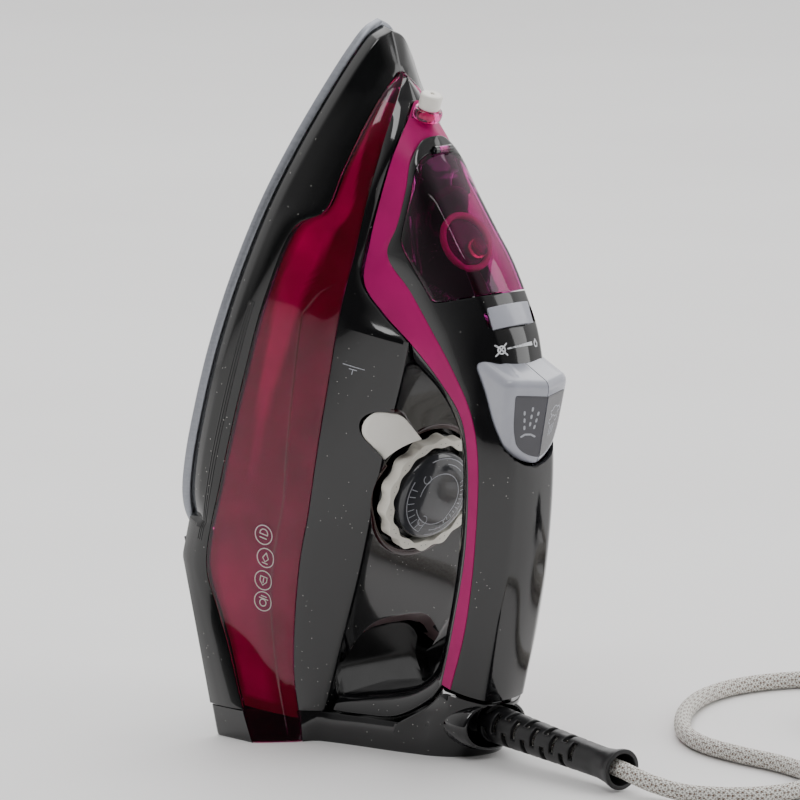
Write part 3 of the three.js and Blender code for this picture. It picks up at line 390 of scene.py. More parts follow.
def braid_material():
    """White braid with groups of three brown flecks, laid out by its run and turn, with painted shade in the
    dips between its strands.
    """
    nodes = Nodes("braid")
    run = nodes.attribute("run")
    turn = nodes.attribute("turn")
    strands = []
    for sign in (1, -1):
        wound = nodes.math("MULTIPLY", turn, 6.0 * sign)
        phase = nodes.math("ADD", nodes.math("MULTIPLY", run, 560.0), wound)
        strands.append(nodes.math("SINE", nodes.math("MULTIPLY", phase, 2 * math.pi)))
    weave = nodes.math("MAXIMUM", *strands)
    flecks = []
    for side, strand in enumerate(strands):
        beat = nodes.math("FRACT", nodes.math("ADD", nodes.math("MULTIPLY", run, 135.0), 0.5 * side))
        group = nodes.math("LESS_THAN", beat, 0.5)
        lane = nodes.math("FRACT", nodes.math("ADD", nodes.math("MULTIPLY", turn, 4.0), 0.5 * side))
        row = nodes.math("LESS_THAN", nodes.math("ABSOLUTE", nodes.math("SUBTRACT", lane, 0.5)), 0.17)
        line = nodes.math("GREATER_THAN", strand, 0.25)
        flecks.append(nodes.math("MULTIPLY", nodes.math("MULTIPLY", group, row), line))
    fleck = nodes.math("MAXIMUM", *flecks)
    # Painted shade: the braid's white is darkened to grey in the dips between strands, following the weave's
    # height.
    white = nodes.mix(nodes.span(weave, 0.0, 1.0, -0.2, 0.9), rgb("a8a49c"), rgb("f1efe9"))
    nodes.bump(weave, 0.7, 0.0003)
    shade = nodes.mix(fleck, white, rgb("6a5242"))
    return nodes.set(Base_Color=shade, Roughness=nodes.span(weave, 0.85, 0.65))


def printed(name, code):
    nodes = Nodes(name)
    colour = rgb(code)
    worn = nodes.mix(nodes.span(nodes.noise(1500), 0.0, 1.0), tuple(c * 0.8 for c in colour), colour)
    return nodes.set(Base_Color=worn, Roughness=nodes.span(nodes.noise(300), 0.35, 0.5))


GLOSS = {"Coat_Weight": 0.4, "Coat_Roughness": 0.03}
LOOK = {
    "gloss_black": plastic("gloss_black", "0d0d0f", 0.08, relief=0.012, dust=0.8, **GLOSS),
    "side_black": plastic("side_black", "0a0b0c", 0.11, relief=0.012, dust=1.0, **GLOSS),
    "dark_plastic": plastic("dark_plastic", "1c1c1f", 0.35, relief=0.05),
    "well_black": plastic("well_black", "08080a", 0.12, relief=0.02),
    "well_rim": plastic("well_rim", "2c0d12", 0.12, relief=0.02, **GLOSS),
    "magenta_trim": plastic("magenta_trim", "a80062", 0.4, relief=0.02, tint=0.06, Specular_IOR_Level=0.25),
    "burgundy_band": tinted("burgundy_band", "ec3c98", 0.03),
    "reflector": reflector_material(),
    "plum_lid": tinted("plum_lid", "c8389e", 0.02),
    "pink_clear": tinted("pink_clear", "ff5cb4", 0.06),
    "filler_pink": plastic("filler_pink", "ff5cc8", 0.25, relief=0.02, **GLOSS),
    # Painted light: the bowl's darker black is painted shade in the sunken bowl, and the bowl edge's lighter
    # colour is a painted highlight.
    "bowl_painted_shade": plastic("bowl_painted_shade", "060607", 0.22, relief=0.02, Specular_IOR_Level=0.2),
    "bowl_painted_highlight": plastic("bowl_painted_highlight", "5c4c4e", 0.3, relief=0.02),
    "light_grey": plastic(
        "light_grey", "a4a6b0", 0.22, relief=0.02, tint=0.05, Coat_Weight=0.5, Coat_Roughness=0.08
    ),
    "smoke_panel": plastic("smoke_panel", "3c3c43", 0.2, relief=0.02, **GLOSS),
    "dial_glass": plastic("dial_glass", "38393d", 0.1, relief=0.01, dust=0.4, **GLOSS),
    "ivory": plastic("ivory", "e9e5da", 0.42, relief=0.05, tint=0.05),
    "white_plastic": plastic("white_plastic", "efece4", 0.35, relief=0.03, tint=0.03),
    "sole_steel": metal("sole_steel", "9a9da4", 0.42, stretch=(0.05, 1, 1)),
    "steel": metal("steel", "b9bcc1", 0.2, stretch=(1, 1, 0.1)),
    "aluminium": metal("aluminium", "8d9298", 0.45),
    "brass": metal("brass", "b89a50", 0.3),
    "black_rubber": plastic("black_rubber", "101012", 0.33, relief=0.06, spread=0.12),
    "silicone": plastic("silicone", "b0503a", 0.6, relief=0.08),
    "clear_hose": tinted("clear_hose", "e6e6ea", 0.1),
    "braid": braid_material(),
    "print_grey": printed("print_grey", "aeb0b8"),
    "print_pink": printed("print_pink", "d8b4c4"),
    "print_white": printed("print_white", "e4e6ea"),
    "print_dark": printed("print_dark", "2a2a2c"),
}


# ---------------------------------------------------------------- mesh helpers
def linked(name, data):
    """A new object in the scene."""
    made = bpy.data.objects.new(name, data)
    bpy.context.scene.collection.objects.link(made)
    return made


def piece(name, points, faces, look):
    """A mesh object with its faces pointing outwards, from row frame points."""
    mesh = bpy.data.meshes.new(name)
    mesh.from_pydata(np.asarray(points).tolist(), [], faces)
    work = bmesh.new()
    work.from_mesh(mesh)
    bmesh.ops.remove_doubles(work, verts=work.verts, dist=1e-7)
    bmesh.ops.recalc_face_normals(work, faces=work.faces)
    work.to_mesh(mesh)
    work.free()
    made = linked(name, mesh)
    if look:
        mesh.materials.append(LOOK[look])
    return made


def grid(rows, columns, wrap_rows=False, wrap_columns=False, start=0):
    """Quads between rows of points, closed on themselves where asked."""
    faces = []
    for i in range(rows if wrap_rows else rows - 1):
        for j in range(columns if wrap_columns else columns - 1):
            a, b = i * columns + j, i * columns + (j + 1) % columns
            below = ((i + 1) % rows) * columns
            faces.append([start + a, start + b, start + below + (j + 1) % columns, start + below + j])
    return faces


def shell(name, rows, centres, thick, look, place=iron):
    """A cover: rows of outer points, thickened towards a point inside for each row."""
    outer = np.array(rows, float)
    for edge, inside in ((0, 1), (-1, -2)):
        outer[:, edge] += unit(outer[:, inside] - outer[:, edge]) * SEAM / 2
    inner = outer + unit(np.asarray(centres)[:, None] - outer) * thick
    n, m = outer.shape[:2]
    faces = grid(n, m) + [f[::-1] for f in grid(n, m, start=n * m)]
    rim = [*range(m), *[i * m + m - 1 for i in range(1, n)]]
    rim += [*range((n - 1) * m + m - 2, (n - 1) * m - 1, -1), *[i * m for i in range(n - 2, 0, -1)]]
    for a, b in zip(rim, rim[1:] + rim[:1]):
        faces.append([a, a + n * m, b + n * m, b])
    return piece(name, place(np.vstack([outer.reshape(-1, 3), inner.reshape(-1, 3)])), faces, look)


def loft(name, rings, look, place=iron, wrap=False):
    """Closed rings joined to the next, with flat ends unless it closes on itself."""
    rings = np.array(rings, float)
    n, m = rings.shape[:2]
    faces = grid(n, m, wrap_rows=wrap, wrap_columns=True)
    if not wrap:
        faces += [list(range(m)), list(range((n - 1) * m, n * m))]
    return piece(name, place(rings.reshape(-1, 3)), faces, look)


def turned(name, profile, base, axis, look, sides=96, place=iron, wrap=False):
    """A turned piece: (radius, distance) points round an axis that starts at base."""
    axis = unit(axis)
    first = unit(np.cross(axis, [0.31, 0.9, 0.3]))
    second = np.cross(axis, first)
    angles = np.linspace(0, 2 * np.pi, sides, endpoint=False)[:, None]
    spokes = np.cos(angles) * first + np.sin(angles) * second
    rings = [np.asarray(base) + axis * d + spokes * max(r, 0.02) for r, d in profile]
    return loft(name, rings, look, place, wrap)


def plate(outline, low, high):
    """Rings of a flat piece: an (along, across) outline at two heights."""
    outline = np.asarray(outline, float)
    return [np.column_stack([outline, np.full(len(outline), h)]) for h in (low, high)]


def slab(outline, left, right):
    """Rings of a piece with an (along, high) side view, between two sides."""
    outline = np.asarray(outline, float)
    return [np.column_stack([outline[:, 0], np.full(len(outline), y), outline[:, 1]]) for y in (left, right)]


def bake(made):
    """Applies the piece's modifiers."""
    graph = bpy.context.evaluated_depsgraph_get()
    mesh = bpy.data.meshes.new_from_object(made.evaluated_get(graph))
    made.modifiers.clear()
    made.data = mesh


def carve(made, *tools, operation="DIFFERENCE"):
    """Cuts the piece with tools, or keeps what is inside them, and removes the tools."""
    for tool in tools:
        modifier = made.modifiers.new("carve", "BOOLEAN")
        modifier.operation = operation
        modifier.solver = "EXACT"
        modifier.object = tool
    bake(made)
    for tool in tools:
        bpy.data.objects.remove(tool)
    return made


def finish(made, body, *nodes, bevel=0.0, angle=40, segments=3, sharp=35, slot=None):
    """Bevels and smooths a piece, and lets it ride on its body in place of its nodes."""
    if bevel:
        modifier = made.modifiers.new("bevel", "BEVEL")
        modifier.width = bevel / 1000
        modifier.segments = segments
        modifier.limit_method = "ANGLE"
        modifier.angle_limit = math.radians(angle)
        bake(made)
    made.data.shade_smooth()
    made.data.set_sharp_from_angle(angle=math.radians(sharp))
    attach(made, body)
    if nodes:
        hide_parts(*nodes)
    return made


def mirror_copy(made, name):
    """A second piece, mirrored across the middle plane."""
    mesh = made.data.copy()
    mesh.name = name
    mesh.transform(((1, 0, 0, 0), (0, -1, 0, 0), (0, 0, 1, 0), (0, 0, 0, 1)))
    mesh.flip_normals()
    return linked(name, mesh)


def set_attribute(made, name, values):
    attribute = made.data.attributes.new(name, "FLOAT", "POINT")
    attribute.data.foreach_set("value", np.asarray(values, np.float32))


def above_floor(level):
    """A big block whose underside is level with a height above the floor."""
    low = [[-300, -300], [300, -300], [300, 300], [-300, 300]]
    rings = [[[x, y, z] for x, y in low] for z in (level, 600)]
    return loft("tool", rings, None, place=lambda p: np.asarray(p, float) / 1000)


def round_tool(radius, low, high, along, across=0):
    return turned("tool", [(radius, low), (radius, high)], [along, across, 0], [0, 0, 1], None, 64)


# ---------------------------------------------------------------- camera, floor and light
CAMERA_AT = (2.20262, -1.98998, 0.63771)
CAMERA_TURN = math.radians(48)
CAMERA_RISE = math.radians(9.5)


def aimed(name, data, at, way):
    """A camera or light at a place, facing along a direction."""
    made = linked(name, data)
    made.location = at
    made.rotation_mode = "QUATERNION"
    made.rotation_quaternion = way.to_track_quat("-Z", "Y")
    return made


def add_camera():
    data = bpy.data.cameras.new("camera")
    data.lens = 330.75
    data.sensor_width = 36
    data.clip_end = 60
    flat = math.cos(CAMERA_RISE)
    back = Vector((math.sin(CAMERA_TURN) * flat, -math.cos(CAMERA_TURN) * flat, math.sin(CAMERA_RISE)))
    bpy.context.scene.camera = aimed("camera", data, CAMERA_AT, -back)


def add_softbox(name, at, towards, width, height, power):
    data = bpy.data.lights.new(name, "AREA")
    data.shape = "RECTANGLE"
    data.size = width
    data.size_y = height
    data.energy = power
    aimed(name, data, at, Vector(towards) - Vector(at))


def add_world():
    """A pale room: bright behind the iron and dim on the camera's side."""
    world = bpy.data.worlds.new("room")
    bpy.context.scene.world = world
    world.use_nodes = True
    tree = world.node_tree
    ground = next(n for n in tree.nodes if n.type == "BACKGROUND")
    place = tree.nodes.new("ShaderNodeTexCoord")
    dot = tree.nodes.new("ShaderNodeVectorMath")
    dot.operation = "DOT_PRODUCT"
    dot.inputs[1].default_value = (-0.62, 0.62, 0.25)
    ramp = tree.nodes.new("ShaderNodeMapRange")
    ramp.inputs["From Min"].default_value = -0.6
    ramp.inputs["From Max"].default_value = 0.9
    ramp.inputs["To Min"].default_value = 0.06
    ramp.inputs["To Max"].default_value = 1.5
    tree.links.new(place.outputs["Generated"], dot.inputs[0])
    tree.links.new(dot.outputs["Value"], ramp.inputs["Value"])
    tree.links.new(ramp.outputs[0], ground.inputs["Strength"])
    ground.inputs["Color"].default_value = (1.0, 0.99, 0.985, 1)


def add_floor():
    size, cells = 14.0, 28
    marks = np.linspace(-size / 2, size / 2, cells + 1)
    points = [[x, y, 0] for x in marks for y in marks]
    mesh = bpy.data.meshes.new("floor")
    mesh.from_pydata(points, [], grid(cells + 1, cells + 1))
    nodes = Nodes("floor")
    shade = nodes.mix(nodes.span(nodes.noise(3), 0.0, 1.0), (0.80, 0.79, 0.785), (0.83, 0.825, 0.82))
    mesh.materials.append(nodes.set(Base_Color=shade, Roughness=0.6))
    floor = linked("floor", mesh)


add_camera()
add_world()
add_floor()
add_softbox("overhead", (-0.9, 1.0, 2.4), (-0.1, 0.2, 0), 3.2, 3.2, 62)
add_softbox("right_side", (1.3, 1.1, 0.9), (0, 0, 0.15), 1.0, 1.4, 12)
add_softbox("front_left", (0.5, -1.5, 2.7), (0, 0, 0.15), 1.2, 1.2, 26)


# ---------------------------------------------------------------- lead
CORD_ROUTE = [
    [150, -0.4, 14.4], [180, -2.9, 12.5], [210, -5.5, 10.8], [238.5, -8, 9.1], [254, -7.6, 6.3],
    [268, -3.5, 4.2], [281, 5, 3.7], [291, 18, 3.7], [294, 34, 3.7], [288, 50, 3.7],
    [274, 60.5, 3.7], [255, 64.5, 3.7], [232, 64.5, 3.7], [209, 67, 3.7], [188, 76.5, 3.7],
    [169, 93, 3.7], [152, 113, 3.7], [139, 136, 3.7], [134, 160, 3.7], [139, 184, 3.7],
    [154, 204, 3.7], [176, 217.5, 3.7], [203, 223, 3.7],
]
TAIL_ROUTE = [[258, 223, 13], [268, 223, 15.6], [277, 223, 18.2], [285.6, 223, 19.2]]
PLUG_AT = np.array([286.4, 223.0, 19.2])


def coil_points():
    """Six turns: three on the floor from the outside in, and three on them back out."""
    radii = [*COIL["radii"], *COIL["radii"][::-1]]
    points = []
    steps = 36
    for turn, radius in enumerate(radii):
        after = radii[min(turn + 1, 5)]
        for step in range(steps):
            share = smooth(2 / 3, 1, step / steps)
            r = lerp(radius, after, share)
            low = COIL["floor"] + COIL["layer"] * (turn > 2)
            high = COIL["floor"] + COIL["layer"] * (turn >= 2)
            angle = math.pi / 2 - 2 * math.pi * step / steps
            x, y = COIL["x"] + r * math.cos(angle), COIL["y"] + r * math.sin(angle)
            points.append([x, y, lerp(low, high, share)])
    points.append([COIL["x"], COIL["y"] + radii[-1], COIL["floor"] + COIL["layer"]])
    return points


def even(points, gap):
    """The same line with its points a steady distance apart."""
    points = np.asarray(points)
    run = lengths(points)
    marks = np.linspace(0, run[-1], int(run[-1] / gap) + 1)
    return between(marks, run, points), run[-1]


def tube(name, path, radius, look, sides=20, place=iron):
    """A round tube along a path, with each point's run and turn kept as attributes."""
    path = np.asarray(path, float)
    ahead = unit(np.gradient(path, axis=0))
    side = np.zeros_like(path)
    side[0] = unit(np.cross(ahead[0], [0.0, 0.3, 1.0]))
    for k in range(1, len(path)):
        side[k] = unit(side[k - 1] - ahead[k] * (side[k - 1] @ ahead[k]))
    up = np.cross(ahead, side)
    angles = np.linspace(0, 2 * np.pi, sides, endpoint=False)
    spokes = np.cos(angles)[None, :, None] * side[:, None] + np.sin(angles)[None, :, None] * up[:, None]
    made = loft(name, path[:, None] + spokes * radius, look, place)
    run = lengths(path) / 1000
    set_attribute(made, "run", np.repeat(run, sides))
    set_attribute(made, "turn", np.tile(1 - np.abs(angles / np.pi - 1), len(path)))
    return made


def add_cord():
    route = [*CORD_ROUTE, *coil_points()[::3], *TAIL_ROUTE]
    fine = Line(route, 10).points
    path, length = even(fine, 1.4)
    cord = tube("lead", path, CORD_R, "braid", 20, floor_frame)
    finish(cord, "lead", "cord", "cord_coil", "cord_tail", slot="braid")
    return cord, floor_frame(path), length / 1000


def guard_radius(d, long):
    """Outer radius of the bend guard at a distance from its root."""
    keys = [0, 3, 12, long * 0.5, long - 22, long - 12, long - 5, long - 0.4, long]
    radii = [7.4, 7.9, 7.6, 6.9, 6.5, 6.4, 7.3, 8.7, 8.5]
    return np.interp(d, keys, radii)


def add_guard():
    """A rubber sleeve with rows of slots and a bell mouth."""
    start, end = np.array(GUARD_FROM), np.array(GUARD_TO)
    axis = unit(end - start)
    long = np.linalg.norm(end - start)
    first = unit(np.cross(axis, [0, 0, 1]))
    second = np.cross(axis, first)
    marks = [0.0, 1.4, 3.2]
    slots = []
    for k in range(10):
        at = 4.0 + 6.1 * k
        slots.append(len(marks))
        marks += [at, at + 0.5, at + 2.3, at + 2.8, at + 4.4]
    marks += list(np.linspace(marks[-1] + 2.4, long, 12))
    sides = 48
    angles = np.linspace(0, 2 * np.pi, sides, endpoint=False)
    spokes = np.cos(angles)[:, None] * first + np.sin(angles)[:, None] * second
    rings = np.array([start + axis * d + spokes * guard_radius(d, long) for d in marks])
    open_quads = set()
    for number, slot in enumerate(slots):
        for j in range(sides):
            if (j + 8 * (number % 2)) % 16 < 10:
                open_quads.update((slot + step) * sides + j for step in (0, 1, 2))
    faces = [f for k, f in enumerate(grid(len(marks), sides, wrap_columns=True)) if k not in open_quads]
    guard = piece("bend_guard", floor_frame(rings.reshape(-1, 3)), faces, "black_rubber")
    wall = guard.modifiers.new("wall", "SOLIDIFY")
    wall.thickness = 0.0019
    wall.offset = -1
    bake(guard)
    return finish(guard, "lead", "cord_guard", bevel=0.35, slot="black_rubber")


def add_plug():
    """A round two-pin plug with a ribbed relief, lying on its side."""
    axis = [1, 0, 0]
    relief = [(3.6, -0.6), (4.4, -0.6)]
    for k in range(6):
        d = 1.5 + 4.4 * k
        r = 4.5 + 0.52 * k
        relief += [(r, d), (r + 0.35, d + 0.5), (r + 0.35, d + 2.6), (r - 0.5, d + 3.0), (r - 0.5, d + 4.0)]
    relief += [(7.4, 29.7), (3.6, 29.7)]
    sleeve = turned("relief_sleeve", relief, PLUG_AT, axis, "black_rubber", 64, floor_frame, wrap=True)
    finish(sleeve, "lead", "plug_relief", bevel=0.3, slot="black_rubber")
    profile = rounded(
        [[0, 30.3], [9.5, 30.3], [13.5, 35], [17.8, 43], [18.5, 48], [18.5, 62], [16.8, 63.4], [0, 63.4]],
        [1, 6, 5, 3, 1.2, 1],
    )
    body = turned("plug_shell", profile, PLUG_AT, axis, "black_rubber", 96, floor_frame)
    grips = []
    for k in range(10):
        angle = 2 * math.pi * (k + 0.5) / 10
        out = np.array([0, math.cos(angle), math.sin(angle)])
        base = PLUG_AT + out * 19.2
        grips.append(turned("tool", [(1.3, 44), (1.3, 60)], base, axis, None, 16, floor_frame))
    carve(body, *grips)
    finish(body, "lead", "plug_body", bevel=0.35, slot="black_rubber")
    pins = []
    for name, side in (("left", -1), ("right", 1)):
        pin = [(2.4, 63.7), (2.4, 80.6), (2.2, 81.6), (1.5, 82.4), (0.3, 82.7)]
        made = turned(f"pin_{name}", pin, PLUG_AT + [0, side * 9.5, 0], axis, "steel", 40, floor_frame)
        finish(made, "lead", f"plug_pin_{name}", slot="steel")
        pins.append(made)
    return [sleeve, body, *pins]


cord, cord_path, cord_length = add_cord()
with_cord = [add_guard(), *add_plug()]


# ---------------------------------------------------------------- soleplate
def sole_ring(inset, high, steps=110):
    """The soleplate's outline, drawn in by a distance."""
    side = SOLE_SIDE.at(np.linspace(0, 1, steps))[:, :2]
    loop = np.vstack([side, side[-2::-1] * [1, -1]])
    drawn = SOLE_MIDDLE + (loop - SOLE_MIDDLE) * (1 - inset / SOLE_HALF)
    return np.column_stack([drawn, np.full(len(drawn), high)])


def add_soleplate():
    profile = rounded(
        [[4, 0], [1.6, 0], [0.1, 0.9], [0, 3.4], [1.0, 4.8], [2.4, 4.8], [2.6, 3.0], [3.5, 3.0]],
        [0.8, 0.6, 0.8, 0.5, 0.2, 0.2], 4,
    )
    made = loft("sole", [sole_ring(inset, high) for inset, high in profile], "sole_steel")
    vents = []
    for k in range(7):
        along = 275 - 24 * k
        across = -0.62 * SOLE_SIDE.along(along)[1]
        for side in (-1, 1):
            vents.append(round_tool(1.8, -5, 8, along, side * across))
            vents.append(round_tool(2.9, -5, 0.5, along, side * across))
    carve(made, *vents)
    finish(made, "iron", "soleplate", bevel=0.15, angle=50, slot="steel")


# ---------------------------------------------------------------- skirt and bands
def core(along):
    """The point that the lower covers thicken towards, which lags behind at the nose."""
    along = np.atleast_1d(np.minimum(along, 258))
    return np.column_stack([along, np.zeros_like(along), np.full_like(along, 24)]).astype(float)


def skirt_rows():
    """Rows from the heel to the tip on the left side, from the foot to the band."""
    foot_line = sole_ring(1.7, 5.1, 260)
    nose = foot_line[: len(foot_line) // 2 + 1]
    nose = nose[np.argmax(nose[:, 0] > 96) :]
    rear = [
        [a, lerp(-57, -56.5, a / 95), max((SOLE_REAR - a) * REAR_SLOPE, 5.1)]
        for a in np.arange(4, 95, 2.0)
    ]
    rows = []
    for foot in [*rear, *nose[::2]]:
        a = foot[0]
        top_along = a if a < 284 else 284 + (a - 284) * 8 / 22.8
        top = BAND_LOW.along(top_along)
        if foot[1] > -0.3:
            top[1] = foot[1] = 0
        foot = np.array(foot)
        plain = lerp(foot, top, 0.3) + [0, -0.8 * np.sign(-foot[1]), 0.2]
        stepped = np.array([a, foot[1] - 0.9 * smooth(0, 6, -foot[1]), foot[2] + 6.2])
        corner = lerp(plain, stepped, smooth(82, 112, a))
        middle = lerp(corner, top, 0.5) + [0, -0.9 * smooth(0, 8, -foot[1]), 0.3]
        rows.append(soft([foot, corner, middle, top], [0.9, BIG], 5))
    return rows


def add_skirt():
    left = skirt_rows()
    rows = [*left, *[mirrored(r) for r in left[-2::-1]]]
    centres = np.vstack([core(r[-1][0]) for r in rows])
    made = shell("skirt_cover", rows, centres, WALL, "side_black")
    carve(made, above_floor(HEEL_TOP + SEAM), operation="INTERSECT")
    finish(made, "iron", "skirt", bevel=0.25, slot="gloss_black")
    ribs = []
    for share in (0.66, 0.74, 0.82):
        path = []
        for row in left:
            if 86 < row[0][0] < 196:
                place = share * (len(row) - 1)
                k = int(place)
                path.append(lerp(row[k], row[k + 1], place - k))
        ribs.append(tube("ribs", path, 0.32, "side_black", 8))
    for name, rib in zip(("skirt_rib_low", "skirt_rib_middle", "skirt_rib_high"), ribs):
        rib.name = name
        finish(rib, "iron", slot="gloss_black")
        finish(mirror_copy(rib, name + "_right"), "iron", slot="gloss_black")


def band_section(along, depth=0.0, columns=26):
    """Points across a band at one place along it, and each one's share of the way."""
    low, high = BAND_LOW.along(along), BAND_HIGH.along(along)
    crease = np.interp(along, [20, 120, 196, 207, 214], [0.74, 0.72, 0.52, 0.68, 0.95])
    step = 0.55 * smooth(215, 200, along) * smooth(10, 40, along)
    shares = np.unique(np.concatenate([
        np.linspace(0, crease - 0.02, columns // 2), crease + np.linspace(-0.012, 0.02, 4),
        np.linspace(crease + 0.035, 1, columns // 3),
    ]))
    out = unit(np.cross(high - low, [1.0, 0, 0]))
    out = out * np.sign(-out[1])
    bulge = 1.1 * 4 * shares * (1 - shares)
    raised = step * smooth(crease - 0.014, crease + 0.022, shares) * smooth(1.0, 0.9, shares)
    points = lerp(low[None], high[None], shares[:, None]) + out * (bulge + raised)[:, None]
    points += unit(core(along) - points) * depth
    return points, shares


def painted_reflection(along, share):
    """How strong the painted reflection on the panel behind a band is, from 0 to 1: a painted bright spear and
    a painted bright patch near the foot.
    """
    upper = np.array([275, 243, 227, 202, 180, 158, 140, 122, 108])[::-1]
    left = np.array([0.10, 0.03, 0.04, 0.05, 0.11, 0.14, 0.20, 0.26, 0.3])[::-1]
    right = np.array([0.2, 0.62, 0.62, 0.50, 0.46, 0.40, 0.40, 0.36, 0.32])[::-1]
    power = np.array([0.8, 1, 1, 0.95, 0.85, 0.75, 0.55, 0.25, 0])[::-1]
    spear = np.interp(along, upper, power, 0, 0)
    spear *= smooth(0, 0.08, share - np.interp(along, upper, left))
    spear *= smooth(0, 0.1, np.interp(along, upper, right) - share)
    foot = np.interp(along, [33, 34, 40, 57, 75, 95, 104], [0, 0.7, 0.75, 0.55, 0.4, 0.15, 0])
    foot *= smooth(0.02, 0.14, share) * smooth(0.75, 0.4, share)
    return max(spear, foot)


def add_bands():
    stations = np.append(np.arange(1, 289.5, 1.5), [290.4, 291.2, 291.8])
    rows = [band_section(a)[0] for a in stations]
    made = shell("clear_band_left", rows, core(stations), 1.8, "burgundy_band")
    carve(made, above_floor(0.4), operation="INTERSECT")
    other = mirror_copy(made, "clear_band_right")
    finish(made, "iron", "side_band_left", bevel=0.3, slot="burgundy_band")
    finish(other, "iron", "side_band_right", bevel=0.3, slot="burgundy_band")
    stations = np.arange(30, 284, 1.5)
    sections = [band_section(a, 2.6) for a in stations]
    # Painted reflection: how much painted bright magenta each point of the panel behind the band gets.
    values = [painted_reflection(a, s) for a, (_, shares) in zip(stations, sections) for s in shares]
    made = shell("reflector_left", [p for p, _ in sections], core(stations), 0.8, None)
    made.data.materials.append(LOOK["reflector"])
    set_attribute(made, "painted_reflection", values + values)
    other = mirror_copy(made, "reflector_right")
    finish(made, "iron", "band_reflector_left", slot="reflector")
    finish(other, "iron", "band_reflector_right", slot="reflector")


# ---------------------------------------------------------------- tank hood
def shoulder(along):
    """The tank's upper edge, which follows the strip's lower edge towards the nose."""
    if along <= STRIP_MEETS:
        return SHOULDER.along(along)
    half = STRIPE_LOW.points[len(STRIPE_LOW.points) // 2 :]
    order = half[np.argsort(half[:, 0])]
    order = order[order[:, 2] < 90]
    return between(min(along, 283.9), order[:, 0], order) - [0, 0, 0.5]


def bowl_sweep(across):
    """How far the bowl's front edge falls back towards its sides."""
    return BOWL_SWEEP * (np.abs(across) / BOWL_HALF) ** 4


def bowl_drop(along, across):
    """How far the tank's top sinks in the bowl behind the dial."""
    behind = BOWL_FRONT - bowl_sweep(across) - along
    wall = np.interp(behind, [0, 0.4, 5.2, 6.2, 8, 9], [0, 0.3, 3.6, 6.4, 8.8, 9.2])
    side = smooth(27.5, 23.5, np.abs(across))
    rear = smooth(36, 52, along)
    return wall * side * rear


def hood_row(along):
    low, top = BAND_HIGH.along(along), shoulder(along)
    if along > 282.5:
        ridge = lerp(32, 25, (along - 284) / 7)
        shares = np.linspace(1, 0, 22)[:, None]
        side = np.hstack([np.full_like(shares, along), low[1] * shares, lerp(ridge, low[2], shares**2)])
        return np.vstack([side, mirrored(side[-2::-1])])
    sunk = 1.2 if along > STRIP_MEETS else 0.0
    inner = np.array([along, top[1] * 0.8, top[2] - sunk])
    middle = lerp(low, top, 0.5) + [0, -0.7, 0.2]
    side = soft([low, middle, top, inner], [BIG, 1.8], 5)
    flat = np.array([[along, inner[1] * t, inner[2]] for t in np.linspace(0.875, 0, 8)])
    shift = smooth(36, 60, along) * smooth(98, 80, along)
    points = np.vstack([side, flat])
    reach = -bowl_sweep(points[:, 1].clip(-BOWL_HALF, BOWL_HALF))
    on_top = smooth(top[2] - 1.6, top[2] - 0.2, points[:, 2]) * smooth(1.0, 0.8, points[:, 1] / top[1])
    points[:, 0] += reach * shift * on_top
    points[:, 2] -= bowl_drop(points[:, 0], points[:, 1]) * on_top
    return np.vstack([points, mirrored(points[-2::-1])])


NOZZLE_BASE = np.array([279.6, 0, 40.2])
NOZZLE_AXIS = np.array([math.cos(math.radians(4)), 0, math.sin(math.radians(4))])


def nozzle_tool():
    return turned("tool", [(6.2, -1.4), (6.2, 9)], NOZZLE_BASE, NOZZLE_AXIS, None, 48)


def paint_bowl(made):
    """Gives the bowl behind the dial a duller, darker black as painted shade, and its front edge a lighter
    colour as a painted highlight.
    """
    made.data.materials.append(LOOK["bowl_painted_shade"])
    made.data.materials.append(LOOK["bowl_painted_highlight"])
    for face in made.data.polygons:
        x, y, z = face.center * 1000
        along = (x + FOOT_X) * SIN + z * COS
        high = (x + FOOT_X) * COS - z * SIN
        drop = bowl_drop(along, y)
        if 36 < along < BOWL_FRONT and high > 66 and abs(y) < 27.5 and drop > 0.25:
            # The lighter painted highlight goes on the bowl's front chamfer, and the painted shade goes on the
            # rest of the bowl.
            on_edge = drop < 4.2 and along > BOWL_FRONT - 7 - bowl_sweep(y)
            face.material_index = 2 if on_edge else 1


def add_hood():
    runs = ((2, 40, 2.0), (40, 78, 0.8), (78, 282.5, 1.6), (283, 291.5, 0.8))
    stations = np.concatenate([np.arange(*run) for run in runs])
    rows = [hood_row(a) for a in stations]
    centres = core(np.array([r[0][0] for r in rows]))
    made = shell("tank_cover", rows, centres, WALL, "gloss_black")
    paint_bowl(made)
    carve(made, above_floor(HEEL_TOP + SEAM), operation="INTERSECT")
    lens = loft("tool", plate(pointer_outline(0.5), 50, 100), None)
    well = round_tool(DIAL_WELL + SEAM, 40, 120, DIAL_ALONG)
    carve(made, well, lens, round_tool(6.6, 20, 90, 246), nozzle_tool())
    finish(made, "iron", "tank_hood", bevel=0.25, slot="gloss_black")


# ---------------------------------------------------------------- dial
POINTER_TURN = math.radians(-42)
POINTER_REACH = 38.5
POINTER_HALF = 8


def by_pointer(points):
    """Points about the dial's middle, turned to where the pointer is."""
    u, v = np.array(points).T
    c, s = math.cos(POINTER_TURN), math.sin(POINTER_TURN)
    return np.column_stack([DIAL_ALONG + u * c - v * s, u * s + v * c])


def pointer_outline(margin=0.0):
    """A round-ended tab that points at the dial, as (along, across)."""
    points = []
    inner, half = 29.8, POINTER_HALF + margin
    edge = half / inner
    for a in np.linspace(-edge, edge, 13):
        points.append([inner * math.cos(a), inner * math.sin(a)])
    for a in np.linspace(math.pi / 2, -math.pi / 2, 33):
        points.append([POINTER_REACH + half * math.cos(a), half * math.sin(a)])
    return by_pointer(points)


